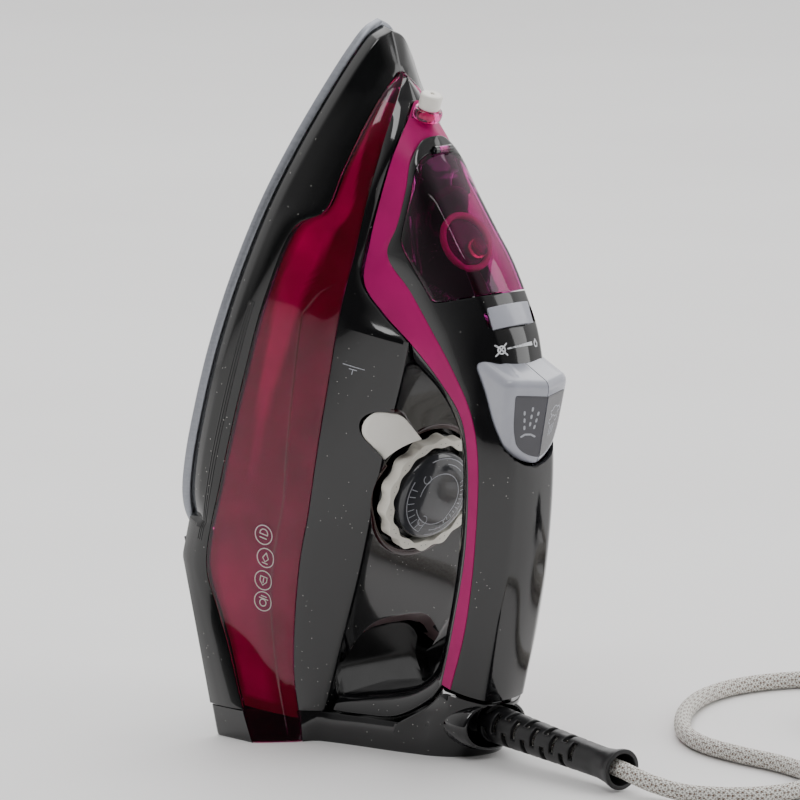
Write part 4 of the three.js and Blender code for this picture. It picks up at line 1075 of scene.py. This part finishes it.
def rim_path(radius, tab):
    """The well's rim, with the tab round the pointer, as (along, across)."""
    half = POINTER_HALF + tab
    gap = math.asin(half / radius)
    points = []
    for a in np.linspace(gap, 2 * math.pi - gap, 150):
        points.append([radius * math.cos(a), radius * math.sin(a)])
    for a in np.linspace(-math.pi / 2, math.pi / 2, 40):
        points.append([POINTER_REACH + half * math.cos(a), half * math.sin(a)])
    return by_pointer(points)


def add_dial():
    middle, top = [DIAL_ALONG, 0, 0], [0, 0, 1]
    inside = DIAL_WELL - 1.5
    well = [(4, 70), (DIAL_WELL, 70), (DIAL_WELL, 78.2), (inside, 78.2), (inside, 71.6), (4, 71.6)]
    cup = turned("dial_well", well, middle, top, "well_black", 128, wrap=True)
    finish(cup, "iron", "dial_bezel", bevel=0.2, slot="dark_plastic")
    base = rounded([[0, 72.2], [24.2, 72.2], [24.8, 76], [24.4, 80.4], [0, 80.4]], [0.6, 3, 0.6])
    body = turned("dial_body", base, middle, top, "well_black", 128)
    finish(body, "dial", "dial_base", slot="gloss_black")
    angles = np.linspace(0, 2 * np.pi, 336, endpoint=False)
    wave = np.cos(14 * angles)
    outer, inner = 24.5 + 0.75 * wave, 21.2 - 0.5 * wave
    section = rounded([[0, 80], [1, 80], [1, 85.8], [0, 85.8]], [0.12] * 4, 3, closed=True)
    rings = []
    for share, high in section:
        r = lerp(inner, outer, share)
        along, across = DIAL_ALONG + r * np.cos(angles), r * np.sin(angles)
        rings.append(np.column_stack([along, across, np.full_like(r, high)]))
    ring = loft("dial_grip", rings, "ivory", wrap=True)
    finish(ring, "dial", "dial_ring", bevel=0.5, angle=50, slot="ivory")
    dome = rounded(
        [[0, 79.9], [18.9, 79.9], [19, 86.2], [17.8, 87.6], [12, 89.1], [0, 89.9]], [0.5, 0.8, 1.5, BIG], 7
    )
    cap = turned("dial_dome", dome, middle, top, "dial_glass", 128)
    finish(cap, "dial", "dial_cap", slot="smoke_panel")
    dots = []
    for k in range(14):
        for offset in (-0.055, 0.055):
            angle = 2 * math.pi * k / 14 + offset
            dots.append([22.7 * math.cos(angle), 22.7 * math.sin(angle)])
    place = {"centre": [DIAL_ALONG, 0, 95], "across": [1, 0, 0], "up": [0, 1, 0], "down": [0, 0, -1]}
    spots = [disc(x, y, 0.34) for x, y in dots]
    add_print("dial_dots", spots, 0.34, ring, **place, look="print_dark", body="dial", slot="smoke_panel")
    arcs = [
        arc(0, 0, 16.9, -20, 190), arc(0, 0, 14.6, 60, 185), arc(0, 0, 14.6, 10, 45),
        arc(0, 0, 10.6, -80, 130), arc(0, 0, 11.8, 150, 250), arc(0, 0, 16.2, 205, 300),
        [*arc(0, 0, 10.6, 130, 131)[:1], [-10.2, 6.0], [-14.2, 4.6]],
        *[line_between(polar(13.0, a), polar(15.6, a)) for a in range(205, 290, 12)],
        *[line_between(polar(12.0, a), polar(13.4, a)) for a in range(64, 160, 9)],
        arc(-9.5, -6.5, 2.2, 0, 300), arc(9.0, -8.0, 1.8, 40, 320),
    ]
    add_print("dial_marks", arcs, 0.34, cap, **place, look="print_grey", body="dial", slot="light_grey")


def add_rim():
    """The dark red lip round the dial's well and its pointer, which follows the cover."""
    cover = bpy.data.objects["tank_cover"]
    tree = BVHTree.FromObject(cover, bpy.context.evaluated_depsgraph_get())
    outer = rim_path(DIAL_WELL + 0.9, 1.9)
    inner = rim_path(DIAL_WELL - 1.3, 0.35)
    down = Vector(iron([[0, 0, -1]])[0] - iron([[0, 0, 0]])[0]).normalized()
    above, plain = 110, 78.5
    top = []
    for along, across in rim_path(DIAL_WELL + 1.6, 2.6):
        eye = Vector(iron([along, across, above]))
        hit = tree.ray_cast(eye, down)[0]
        top.append(above - (hit - eye).length * 1000 if hit else plain)
    top = np.array(top)
    lift, depth = 0.35, 4.0
    mid = lerp(outer, inner, 0.5)
    rings = [
        np.column_stack([outer, top - 1.0]), np.column_stack([outer, top + lift - 0.25]),
        np.column_stack([lerp(outer, mid, 0.5), top + lift]),
        np.column_stack([lerp(inner, mid, 0.5), top + lift]),
        np.column_stack([inner, top + lift - 0.3]), np.column_stack([inner, top - depth]),
        np.column_stack([lerp(inner, mid, 0.6), top - depth]),
    ]
    finish(loft("well_lip", rings, "well_rim", wrap=True), "iron", sharp=60, slot="dark_plastic")


def add_pointer():
    turn = math.radians(-31)
    outline = pointer_outline(0.1)
    middle = outline.mean(0)
    rings = []
    for inset, lift in ((0.0, 0.0), (0.0, 1.75), (0.12, 2.05), (0.35, 2.2)):
        drawn = outline + unit(middle - outline) * inset
        base = 74.5 + (drawn[:, 1] + 29.5) * math.tan(-turn)
        rings.append(np.column_stack([drawn, base + lift / math.cos(turn)]))
    made = loft("pointer_window", rings, "white_plastic")
    finish(made, "iron", "pointer_lens", slot="white_plastic")


# ---------------------------------------------------------------- prints
def polar(radius, degrees):
    angle = math.radians(degrees)
    return [radius * math.cos(angle), radius * math.sin(angle)]


def arc(x, y, radius, start, end, step=6):
    count = max(2, int(abs(end - start) / step) + 1)
    return [[x + p, y + q] for p, q in (polar(radius, a) for a in np.linspace(start, end, count))]


def line_between(a, b, count=4):
    return [list(lerp(np.array(a, float), np.array(b, float), t)) for t in np.linspace(0, 1, count)]


def disc(x, y, radius):
    return [[x - radius * 0.02, y], [x + radius * 0.02, y]]


def add_print(name, strokes, width, onto, centre, across, up, down, look, body, slot):
    """Thin printed strokes laid on a piece: each is a line in a plane that faces it."""
    graph = bpy.context.evaluated_depsgraph_get()
    tree = BVHTree.FromObject(onto, graph)
    origin, base = iron(centre), iron([0, 0, 0])
    right, rise, inward = (iron(v) - base for v in (across, up, down))
    right, rise, inward = (unit(v) / 1000 for v in (right, rise, inward))
    way = Vector(inward).normalized()
    points, faces = [], []
    for stroke in strokes:
        line = np.array(stroke, float)
        ahead = unit(np.gradient(line, axis=0) + 1e-12)
        side = np.column_stack([-ahead[:, 1], ahead[:, 0]]) * width / 2
        line = np.vstack([line[:1] - ahead[:1] * width / 2, line, line[-1:] + ahead[-1:] * width / 2])
        side = np.vstack([side[:1] * 0.5, side, side[-1:] * 0.5])
        start = len(points)
        for layer in (0.03, -0.1):
            for edge in (line - side, line + side):
                for u, v in edge:
                    eye = Vector(origin + right * u + rise * v)
                    hit = tree.ray_cast(eye, way)[0]
                    if hit is None:
                        hit = eye + way * 0.02
                    points.append(hit - way * layer / 1000)
        n = len(line)
        a, b, c, d = (start + k * n for k in range(4))
        for k in range(n - 1):
            faces += [[a + k, a + k + 1, b + k + 1, b + k], [c + k, d + k, d + k + 1, c + k + 1]]
            faces += [[a + k, c + k, c + k + 1, a + k + 1], [b + k, b + k + 1, d + k + 1, d + k]]
        for k in (0, n - 1):
            faces.append([a + k, b + k, d + k, c + k])
    made = piece(name, np.array([list(p) for p in points]), faces, look)
    finish(made, body, sharp=60, slot=slot)
    return made


# ---------------------------------------------------------------- handle
def handle_centre(key):
    key = np.maximum(np.abs(key), 2.6)
    top, low = CREST.key(key), STRIPE_LOW.key(key)
    along, high = (lerp(top[..., k], low[..., k], 0.45) for k in (0, 2))
    return np.column_stack([along, 0 * key, high])


STRIP_KEYS = np.concatenate([np.arange(0.08, 12.9, 0.06), [KEYS - 0.02]])


def top_rows(keys):
    edges, corners, tops = (line.key(keys) for line in (STRIPE_HIGH, FACET, CREST))
    centres = handle_centre(keys)
    rows = []
    for k, edge, corner, top, centre in zip(keys, edges, corners, tops, centres):
        middle = lerp(edge, corner, 0.5)
        middle += unit(middle - centre) * (2.2 - smooth(8.4, 9.4, k)) * smooth(0, 1, k)
        across = [edge, middle, corner, top, mirrored(corner), mirrored(middle), mirrored(edge)]
        rows.append(soft(across, [BIG, 1.9, BIG, 1.9, BIG], 5))
    return rows


def slider_frame(run, out):
    """A point on the handle's slope by the steam slider, as (along, high)."""
    along = SLIDER["along"] + RUN[0] * run + OUT[0] * out
    return [along, SLIDER["high"] + RUN[1] * run + OUT[1] * out]


def button_plan(margin=0.0, count=240):
    """Outline of the two buttons: straight in front and rounded behind."""
    front, rear, wide = BUTTON["front"], BUTTON["rear"], BUTTON["wide"]
    side = [[front + margin, -wide - margin], [lerp(front, rear, 0.6), -wide + 1.5 - margin]]
    for a in np.linspace(0.35, math.pi / 2, 14):
        side.append([rear - margin + 12 - 12 * math.sin(a), -(wide - 2.5 + margin) * math.cos(a)])
    side = np.array(side)
    loop = np.vstack([side, side[-2::-1] * [1, -1]])
    flat = rounded(loop, [5.5, 6, *[BIG] * (len(loop) - 4), 6, 5.5], 8, closed=True)
    flat = np.vstack([flat, flat[:1]])
    run = lengths(flat)
    return between(np.linspace(0, run[-1], count, endpoint=False), run, flat)


def button_top(along, across):
    """Height of the buttons' top, which falls away sideways like a roof."""
    share = (BUTTON["front"] - along) / (BUTTON["front"] - BUTTON["rear"])
    return BUTTON["high"] + BUTTON["rise"] * share - BUTTON["fall"] * np.abs(across)


def one_side(outline, side, gap):
    """The part of an outline on one side of the middle plane, closed by a straight edge."""
    return np.column_stack([outline[:, 0], side * np.maximum(side * outline[:, 1], gap)])


def button_bottom(along, across):
    """Height of the buttons' foot, which reaches down into the handle at its sides."""
    middle = lerp(131, 117.5, smooth(BUTTON["rear"] + 2, BUTTON["front"], along))
    return middle - 9 * smooth(9, 15, np.abs(across))


def add_handle():
    rows = top_rows(STRIP_KEYS)
    centres = handle_centre(STRIP_KEYS)
    top = shell("handle_cover", rows, centres, WALL, "gloss_black")
    lid = shell("lid_cover", rows, centres, WALL, "plum_lid")
    radii = [1, 3, BIG, BIG, 5, 5, 3, 3, 1, 1, 1]
    opening = loft("tool", slab(rounded(LID_SIDE, radii, 4, closed=True), -40, 40), None)
    pocket = loft("tool", plate(button_plan(0.5), 104, 170), None)
    corners = [slider_frame(run, out) for run, out in ((-3.2, -8), (3.2, -8), (3.2, 8), (-3.2, 8))]
    slot = loft("tool", slab(corners, -13, 13), None)
    notch = turned("tool", [(2.1, -4.9), (2.1, 4.9)], HINGE, [0, 1, 0], None, 32)
    carve(top, opening, pocket, slot, notch)
    finish(top, "iron", "handle_top_shell", bevel=0.25, slot="gloss_black")
    inset = [
        [lerp(a, 243, 0.018), lerp(h, 78, 0.018)] if 0 < k < 9 else [a, h]
        for k, (a, h) in enumerate(LID_SIDE)
    ]
    inset[8] = [230, 106.9]
    kept = loft("tool", slab(rounded(inset, radii, 4, closed=True), -40, 40), None)
    carve(lid, kept, operation="INTERSECT")
    for left, right in ((-4.9, -2.5), (2.5, 4.9)):
        carve(lid, turned("tool", [(2.1, left), (2.1, right)], HINGE, [0, 1, 0], None, 32))
    finish(lid, "lid", "filler_lid", bevel=0.4, slot="plum_lid")
    ends = [(0.9, -2.4), (1.7, -2.4), (1.7, 2.4), (0.9, 2.4)]
    barrel = turned("lid_barrel", ends, HINGE, [0, 1, 0], "plum_lid", 40, wrap=True)
    finish(barrel, "lid", slot="plum_lid")
    for name, side in (("left", -1), ("right", 1)):
        ends = [(0.9, 2.7 * side), (1.7, 2.7 * side), (1.7, 4.6 * side), (0.9, 4.6 * side)]
        lug = turned(f"hinge_lug_{name}", ends, HINGE, [0, 1, 0], "gloss_black", 40, wrap=True)
        finish(lug, "iron", slot="gloss_black")


def add_strip():
    """The magenta strip from the heel round the nose and back to the heel."""
    keys = np.concatenate([-STRIP_KEYS[::-1], [0], STRIP_KEYS])
    lows, highs = STRIPE_LOW.key(keys), STRIPE_HIGH.key(keys)
    shares = np.linspace(0, 1, 9)
    rows = [[lerp(low, high, s) for s in shares] for low, high in zip(lows, highs)]
    made = shell("magenta_strip", rows, handle_centre(keys), 1.9, "magenta_trim")
    carve(made, nozzle_tool())
    finish(made, "iron", "trim_strip", bevel=0.35, slot="magenta_trim")


def add_inner_skin():
    keys = np.concatenate([STRIP_KEYS[STRIP_KEYS > 7.04], np.arange(13.06, 17.01, 0.06)])
    rows, centres = [], []
    for k in keys:
        share = (k - 7) / 10
        corner, middle = CORNER.at(share), MIDDLE.at(share)
        on_strip = k <= KEYS
        edge = STRIPE_LOW.key(k) if on_strip else HEEL_EDGE.at((k - KEYS) / 4)
        if on_strip:
            edge = edge * [1, np.sign(edge[1]) * -1, 1]
        fold = lerp(edge, corner, 0.55) - [0, 1, 0]
        centres.append(handle_centre(np.array([k]))[0] if on_strip else HEEL_CORE.at((k - KEYS) / 4))
        half = soft([edge, fold, corner, lerp(corner, middle, 0.5), middle], [3, 3, BIG], 5)
        rows.append(np.vstack([half, mirrored(half[-2::-1])]))
    made = shell("handle_liner", rows, np.array(centres), WALL, "gloss_black")
    carve(made, above_floor(HEEL_TOP + SEAM), operation="INTERSECT")
    finish(made, "iron", "handle_inner_skin", bevel=0.3, slot="gloss_black")


# ---------------------------------------------------------------- controls and filler
def add_buttons():
    outline = button_plan()
    middle = np.array([186.0, 0.0])
    ahead = unit(np.roll(outline, -1, 0) - np.roll(outline, 1, 0))
    inward = np.column_stack([-ahead[:, 1], ahead[:, 0]])
    inward *= np.sign(np.sum(inward * (middle - outline), axis=1))[:, None]
    lean = np.column_stack([1.4 * smooth(190, 203, outline[:, 0]), 0 * outline[:, 0]])
    radius = 3.6
    panels = {}
    for name, side in (("spray", -1), ("steam", 1)):
        foot = one_side(outline + lean, side, 0.22)
        rings = [np.column_stack([foot, button_bottom(*foot.T)])]
        for a in np.linspace(0, math.pi / 2, 9):
            drawn = one_side(outline + inward * radius * (1 - math.cos(a)) - lean, side, 0.22)
            rings.append(np.column_stack([drawn, button_top(*drawn.T) - radius * (1 - math.sin(a))]))
        key = loft(f"{name}_frame", rings, "light_grey")
        finish(key, f"{name}_key", f"{name}_button", bevel=0.14, angle=50, slot="light_grey")
        rings = []
        for inset, lift in ((3.4, -2.0), (3.4, 0.14), (3.52, 0.26), (3.8, 0.28)):
            drawn = outline + inward * inset
            drawn[:, 0] -= 4.4 * smooth(176, 201, drawn[:, 0]) - 0.4
            drawn = one_side(drawn, side, 0.3)
            rings.append(np.column_stack([drawn, button_top(*drawn.T) + lift]))
        panels[name] = loft(f"{name}_panel", rings, "smoke_panel")
        finish(panels[name], f"{name}_key", f"{name}_button_pad", slot="smoke_panel")
    return panels


def cloud(across, along, size):
    """The outline of a small cloud, open at its foot."""
    shape = (
        (-2.6, -1.6), (-4.2, -0.6), (-3.9, 0.9), (-2.6, 1.1), (-1.6, 2.5), (0.3, 3.0),
        (1.8, 2.1), (3.6, 2.2), (4.4, 0.9), (3.6, -0.4), (2.4, -0.6),
    )
    return [[across + size * u, along + size * v] for u, v in shape]


def add_button_icons(panels):
    """Falling drops over an arc for spray, and clouds over jets for steam."""
    place = {"centre": [0, 0, 160], "across": [0, 1, 0], "up": [1, 0, 0], "down": [0, 0, -1]}
    look = {"look": "print_grey", "slot": "light_grey"}
    columns = (
        ((-8.8, 189.8), (-7.7, 181.6)), ((-5.6, 191.6), (-5.8, 183.2)), ((-3.0, 189.8), (-4.0, 182.2)),
    )
    spray = []
    for first, last in columns:
        column = line_between(first, last, 9)
        spray += [column[k : k + 2] for k in (0, 3, 6)]
    spray.append([[-8.6, 179.3], [-7.2, 180.3], [-4.8, 180.4], [-3.2, 179.6]])
    add_print("spray_icon", spray, 0.8, panels["spray"], **place, **look, body="spray_key")
    steam = [cloud(7.8, 188.6, 0.78), cloud(6.6, 185.0, 0.72)]
    for k in range(3):
        steam.append(line_between([5.2 + 1.3 * k, 183.0 + 0.2 * k], [4.6 + 1.2 * k, 179.0 + 0.3 * k]))
    add_print("steam_icon", steam, 0.5, panels["steam"], **place, **look, body="steam_key")


def add_slider_marks():
    """Crossed-out steam, a line that swells, and a drop."""
    along, high = slider_frame(12.8, 20)
    place = {
        "centre": [along, 0, high], "across": [0, 1, 0],
        "up": [-RUN[0], 0, -RUN[1]], "down": [-OUT[0], 0, -OUT[1]],
    }
    marks = [
        line_between([-12.2, 2.3], [-7.8, -2.3], 14), line_between([-12.4, -1.8], [-7.6, 2.2], 14),
        [[p - 10, q] for p, q in arc(0, 0, 1.5, 0, 360, 20)],
        *[line_between([-7.2 + rise, 0.1], [5.6, 0.3 + rise * 0.28], 30) for rise in (0, 1.4, 3.4)],
        [[8.3, 2.4], [7.5, 1.2], [7.3, 0.2], [8.0, -0.6], [8.9, -0.4], [9.2, 0.6], [8.3, 2.4]],
    ]
    cover = bpy.data.objects["handle_cover"]
    add_print("slider_marks", marks, 0.6, cover, **place, look="print_white", body="iron", slot="white_plastic")


def add_band_icons():
    """Four round icons with plain signs in them, down the near band."""
    place = {"across": [0, 0.27, 0.96], "up": [1, 0, 0], "down": [0, 0.96, -0.27]}
    look = {"look": "print_pink", "body": "iron", "slot": "white_plastic"}
    ring = arc(0, 0, 4.1, 0, 360, 12)
    kite = [[0, 2.2], [-1.4, -0.2], [0, -1.8], [1.4, -0.2], [0, 2.2]]
    shield = [[-1.6, 1.6], [-1.6, -0.4], [0, -2.2], [1.6, -0.4], [1.6, 1.6], [-1.6, 1.6]]
    def bar(half, level):
        return line_between([-half, level], [half, level])

    signs = (
        [arc(0, 0.6, 1.9, 0, 180), bar(1.9, 0.2), bar(1.6, -1.4)],
        [kite, bar(1.2, -2.4)],
        [shield, line_between([0, 1], [0, -1])],
        [bar(2, 1.2), arc(0, -0.6, 1.5, 0, 360, 20), bar(1.2, 2.2)],
    )
    band = bpy.data.objects["clear_band_left"]
    for number, ((along, across, high), sign) in enumerate(zip(BAND_ICONS, signs), 1):
        centre = [along, across - 15, high + 4.2]
        add_print(f"band_icon_{number}", [ring, *sign], 0.45, band, centre, **place, **look)


def add_level_mark():
    """The tank's level mark: a long line, a short one and a stem."""
    place = {"centre": [181, -49, 67.5], "across": [0, 0.36, 0.93], "up": [1, 0, 0], "down": [0, 0.93, -0.36]}
    mark = [line_between([-4.6, 1.4], [4.6, 1.4]), line_between([-1.6, 0.2], [1.6, 0.2])]
    mark.append(line_between([0, -0.2], [0, -1.8]))
    cover = bpy.data.objects["tank_cover"]
    add_print("level_mark", mark, 0.35, cover, **place, look="print_grey", body="iron", slot="light_grey")


def add_slider():
    radius = SLIDER["radius"]
    middle = slider_frame(0, -radius)

    def block(name, inner, outer, start, end, half, look):
        """A block that follows an arc about the slider's axis."""
        angles = np.radians(np.linspace(start, end, 24))
        rings = []
        for run in (-half, half):
            loop = [(outer, a) for a in angles] + [(inner, a) for a in angles[::-1]]
            ring = []
            for r, a in loop:
                along = middle[0] + OUT[0] * r * math.cos(a) + RUN[0] * run
                high = middle[1] + OUT[1] * r * math.cos(a) + RUN[1] * run
                ring.append([along, r * math.sin(a), high])
            rings.append(ring)
        return loft(name, rings, look)

    cap = block("slider_cap", radius + 1.3, radius + 3.7, -31, 13, 4.5, "light_grey")
    stem = block("tool", radius - 4.4, radius + 1.5, -15, -3, 2.4, "light_grey")
    carve(cap, stem, operation="UNION")
    finish(cap, "slider", "steam_slider", bevel=0.7, angle=50, segments=4, slot="light_grey")


def add_nozzle():
    collar = rounded(
        [[3.6, -1], [5.6, -1], [6.1, 0.4], [6.2, 2.6], [5.5, 3.8], [3.8, 3.6]],
        [0.3, 1, 1.2, 1, 0.7, 0.5], 4, closed=True,
    )
    ring = turned("nozzle_ring", collar, NOZZLE_BASE, NOZZLE_AXIS, "pink_clear", 64, wrap=True)
    finish(ring, "iron", "nozzle_collar", slot="magenta_trim")
    profile = rounded(
        [[0, 0], [3.2, 0], [3.2, 3.9], [4.5, 3.9], [4.6, 9.6], [3.9, 10.3], [1, 10.4], [0.9, 9.6], [0, 9.6]],
        [0.3, 0.1, 0.3, 0.5, 0.9, 0.2, 0.1],
    )
    cap = turned("nozzle_cap", profile, NOZZLE_BASE, NOZZLE_AXIS, "white_plastic", 64)
    finish(cap, "iron", "spray_nozzle", slot="white_plastic")


def add_filler():
    """The filler mouth under the lid, with its lip, a dark disc as painted shade inside the opening, and small
    knob.
    """
    profile = rounded(
        [
            [4.9, 26], [6.1, 26], [6.1, 54], [8.2, 58.5], [11.2, 60.6],
            [11.4, 63], [9.4, 63.4], [7, 60], [4.9, 55.6],
        ],
        [0.3, 0.3, 2, 1.5, 0.8, 0.8, 0.8, 2, 2], 4, closed=True,
    )
    mouth = turned("filler_mouth", profile, [246, 0, 0], [0, 0, 1], "well_black", 96, wrap=True)
    finish(mouth, "iron", "filler_funnel", slot="dark_plastic")
    corners = [[10.2, -1], [12.4, -1], [12.9, 0.3], [12.4, 1.4], [10.6, 1.4], [10, 0.2]]
    section = rounded(corners, [0.6] * 6, 4, closed=True)
    lip = turned("filler_lip", section, FILLER_AT, FILLER_AXIS, "filler_pink", 96, wrap=True)
    finish(lip, "iron", slot="reflector")
    # A dark disc across the mouth: a dark sheet that stands for the shade inside the filler opening.
    side = [(0, -6), (6, -6), (9.7, -0.6), (9.7, 0.2), (0, 0.2)]
    shade_cap = turned("filler_shade_disc", side, FILLER_AT, FILLER_AXIS, "well_black", 64)
    finish(shade_cap, "iron", slot="dark_plastic")
    side = rounded([[0, 0.4], [4.2, 0.4], [4.2, 2.4], [3.2, 3.2], [0, 3.2]], [0.2, 0.6, 0.6], 4)
    base = np.add(FILLER_AT, [-2.6, 3.6, 2.6])
    knob = turned("filler_knob", side, base, FILLER_AXIS, "pink_clear", 48)
    finish(knob, "iron", slot="magenta_trim")


# ---------------------------------------------------------------- heel
def on_level(line, z):
    """The point of a line that is z above the floor, measured as floor_frame has it."""
    along = z
    for _ in range(30):
        along = (z + line(along)[2] * SIN) / COS
    p = line(along)
    return np.array([p[0] * SIN + p[2] * COS, p[1], p[0] * COS - p[2] * SIN])


def heel_side(z):
    """Left half of the heel's outline at one height, from the sole side to the crest."""
    t = min(1, z / 23)
    ends = [
        [-28.8, 97], [-25, 114], [-21, 127], [-20, lerp(131, 134, t)],
        [lerp(-16, -19, t), lerp(137.5, 139, t)], [lerp(-10.5, -11, t), lerp(142.5, 147, t)],
        [-4, lerp(145, 149.3, t)],
    ]
    return [
        on_level(lambda a: np.array([a, -57, (SOLE_REAR - a) * REAR_SLOPE]), z),
        *[
            on_level(lambda a, line=line: line.along(max(a, 1)), z)
            for line in (BAND_LOW, BAND_HIGH, SHOULDER)
        ],
        *[on_level(lambda a, e=end: np.array([a, e[0], e[1]]), z) for end in ends],
    ]


def drawn_in(ring, by):
    """A level ring of the heel, drawn in towards its middle."""
    shrink = [1 - by / HEEL_HALF[0], 1 - by / HEEL_HALF[1], 1]
    return HEEL_MIDDLE + (np.asarray(ring, float) - HEEL_MIDDLE) * shrink


def heel_ring(z, by=0.0):
    """The heel's outline with a notch on each side where the clear band passes."""
    under, low, high, *rest = heel_side(z)
    out = unit((high - low) * [1, 1, 0]) * 0.3
    inward = np.array([-out[1], out[0], 0]) * 2.3 / 0.3
    inward *= np.sign(inward @ ([60, 0, 0] - low * [1, 1, 0]))
    side = [under, low - out, low - out + inward, high + out + inward, high + out, *rest]
    radii = [2.5, 0.4, 0.4, 0.4, 0.4, 5, 8, 8, 6, 4, 6, 9, 4]
    loop = [*side, *[mirrored(p) for p in side[::-1]]]
    return drawn_in(soft_loop(loop, [*radii[: len(side)], *radii[: len(side)][::-1]], 4), by)


def stack_ring(z, by, tops=None):
    side = heel_side(z)[5:]
    if tops is not None:
        side = [np.array([p[0], p[1], t]) for p, t in zip(side, tops)]
    loop = [*side, *[mirrored(p) for p in side[::-1]]]
    radii = [1, 6, 4, 6, 9, 4]
    return drawn_in(soft_loop(loop, [*radii, *radii[::-1]], 6), by)


# Draws the lead's mouth out sideways, since the lead swivels in it to both sides.
SIDEWAYS = ((1, 0, 0, 0), (0, 1.6, 0, 0.0006), (0, 0, 1, 0), (0, 0, 0, 1))


def add_heel():
    """The heel, with a mouth that is wider than it is high, so that the lead can swivel."""
    levels = [(0, 0.3), (0.3, 0.1), (1.1, 0), (6, 0), (HEEL_TOP - 0.3, 0), (HEEL_TOP, 0.25)]
    made = loft("heel_base", [heel_ring(z, by) for z, by in levels], "gloss_black", floor_frame)
    tops = np.array([13.0, 20.8, 27.9, 27.1, 23.9, 22.7])
    stack = loft("tool", [
        stack_ring(3, 0.4), stack_ring(8, 0.0), stack_ring(18, 0, np.minimum(tops - 0.6, 18)),
        stack_ring(23, 0, tops - 0.5), stack_ring(23, 0.35, tops),
    ], "gloss_black", floor_frame)
    carve(made, stack, operation="UNION")
    axis = np.subtract(GUARD_TO, GUARD_FROM)
    mouth = turned("tool", [(9.2, 0), (9.2, 60)], BALL, axis, None, 64, floor_frame)
    mouth.data.transform(SIDEWAYS)
    carve(made, mouth)
    finish(made, "iron", "heel_cover", bevel=0.2, slot="gloss_black")
    cup = rounded(
        [[9.2, 1], [10.8, 1], [11.5, 8], [11.2, 15], [10.2, 19.2], [9.2, 19.6]],
        [0.4, 2, 6, 4, 1, 0.5], 6, closed=True,
    )
    boss = turned("swivel_cup", cup, BALL, axis, "gloss_black", 96, floor_frame, wrap=True)
    boss.data.transform(SIDEWAYS)
    carve(boss, above_floor(0.8), operation="INTERSECT")
    finish(boss, "iron", slot="gloss_black")


# ---------------------------------------------------------------- build
add_soleplate()
add_skirt()
add_bands()
add_hood()
add_dial()
add_rim()
add_pointer()
add_handle()
add_strip()
add_inner_skin()
panels = add_buttons()
add_slider()
add_button_icons(panels)
add_slider_marks()
add_band_icons()
add_level_mark()
add_nozzle()
add_filler()
add_heel()

KEPT = {
    "dark_plastic": ["rear_underside", "tank_tray", "cord_clamp", "swivel_ball"],
    "white_plastic": ["spray_pump_rod", "steam_pump_rod", "slider_cam", "terminal_block", "thermal_fuse"],
    "ivory": ["spray_pump", "steam_pump"],
    "steel": [
        "heating_element", "dial_spindle", "lid_hinge_pin", "valve_rod",
        "spray_pump_spring", "steam_pump_spring",
    ],
    "aluminium": ["heater_casting", "steam_chamber_cover"],
    "brass": ["thermostat", "valve_seat"],
    "silicone": ["chamber_gasket", "tank_seal"],
    "clear_hose": ["spray_hose", "steam_hose", "pilot_lamp"],
}
for look, names in KEPT.items():
    for name in names:
        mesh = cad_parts[name].data
        mesh.materials.clear()
        mesh.materials.append(LOOK[look])
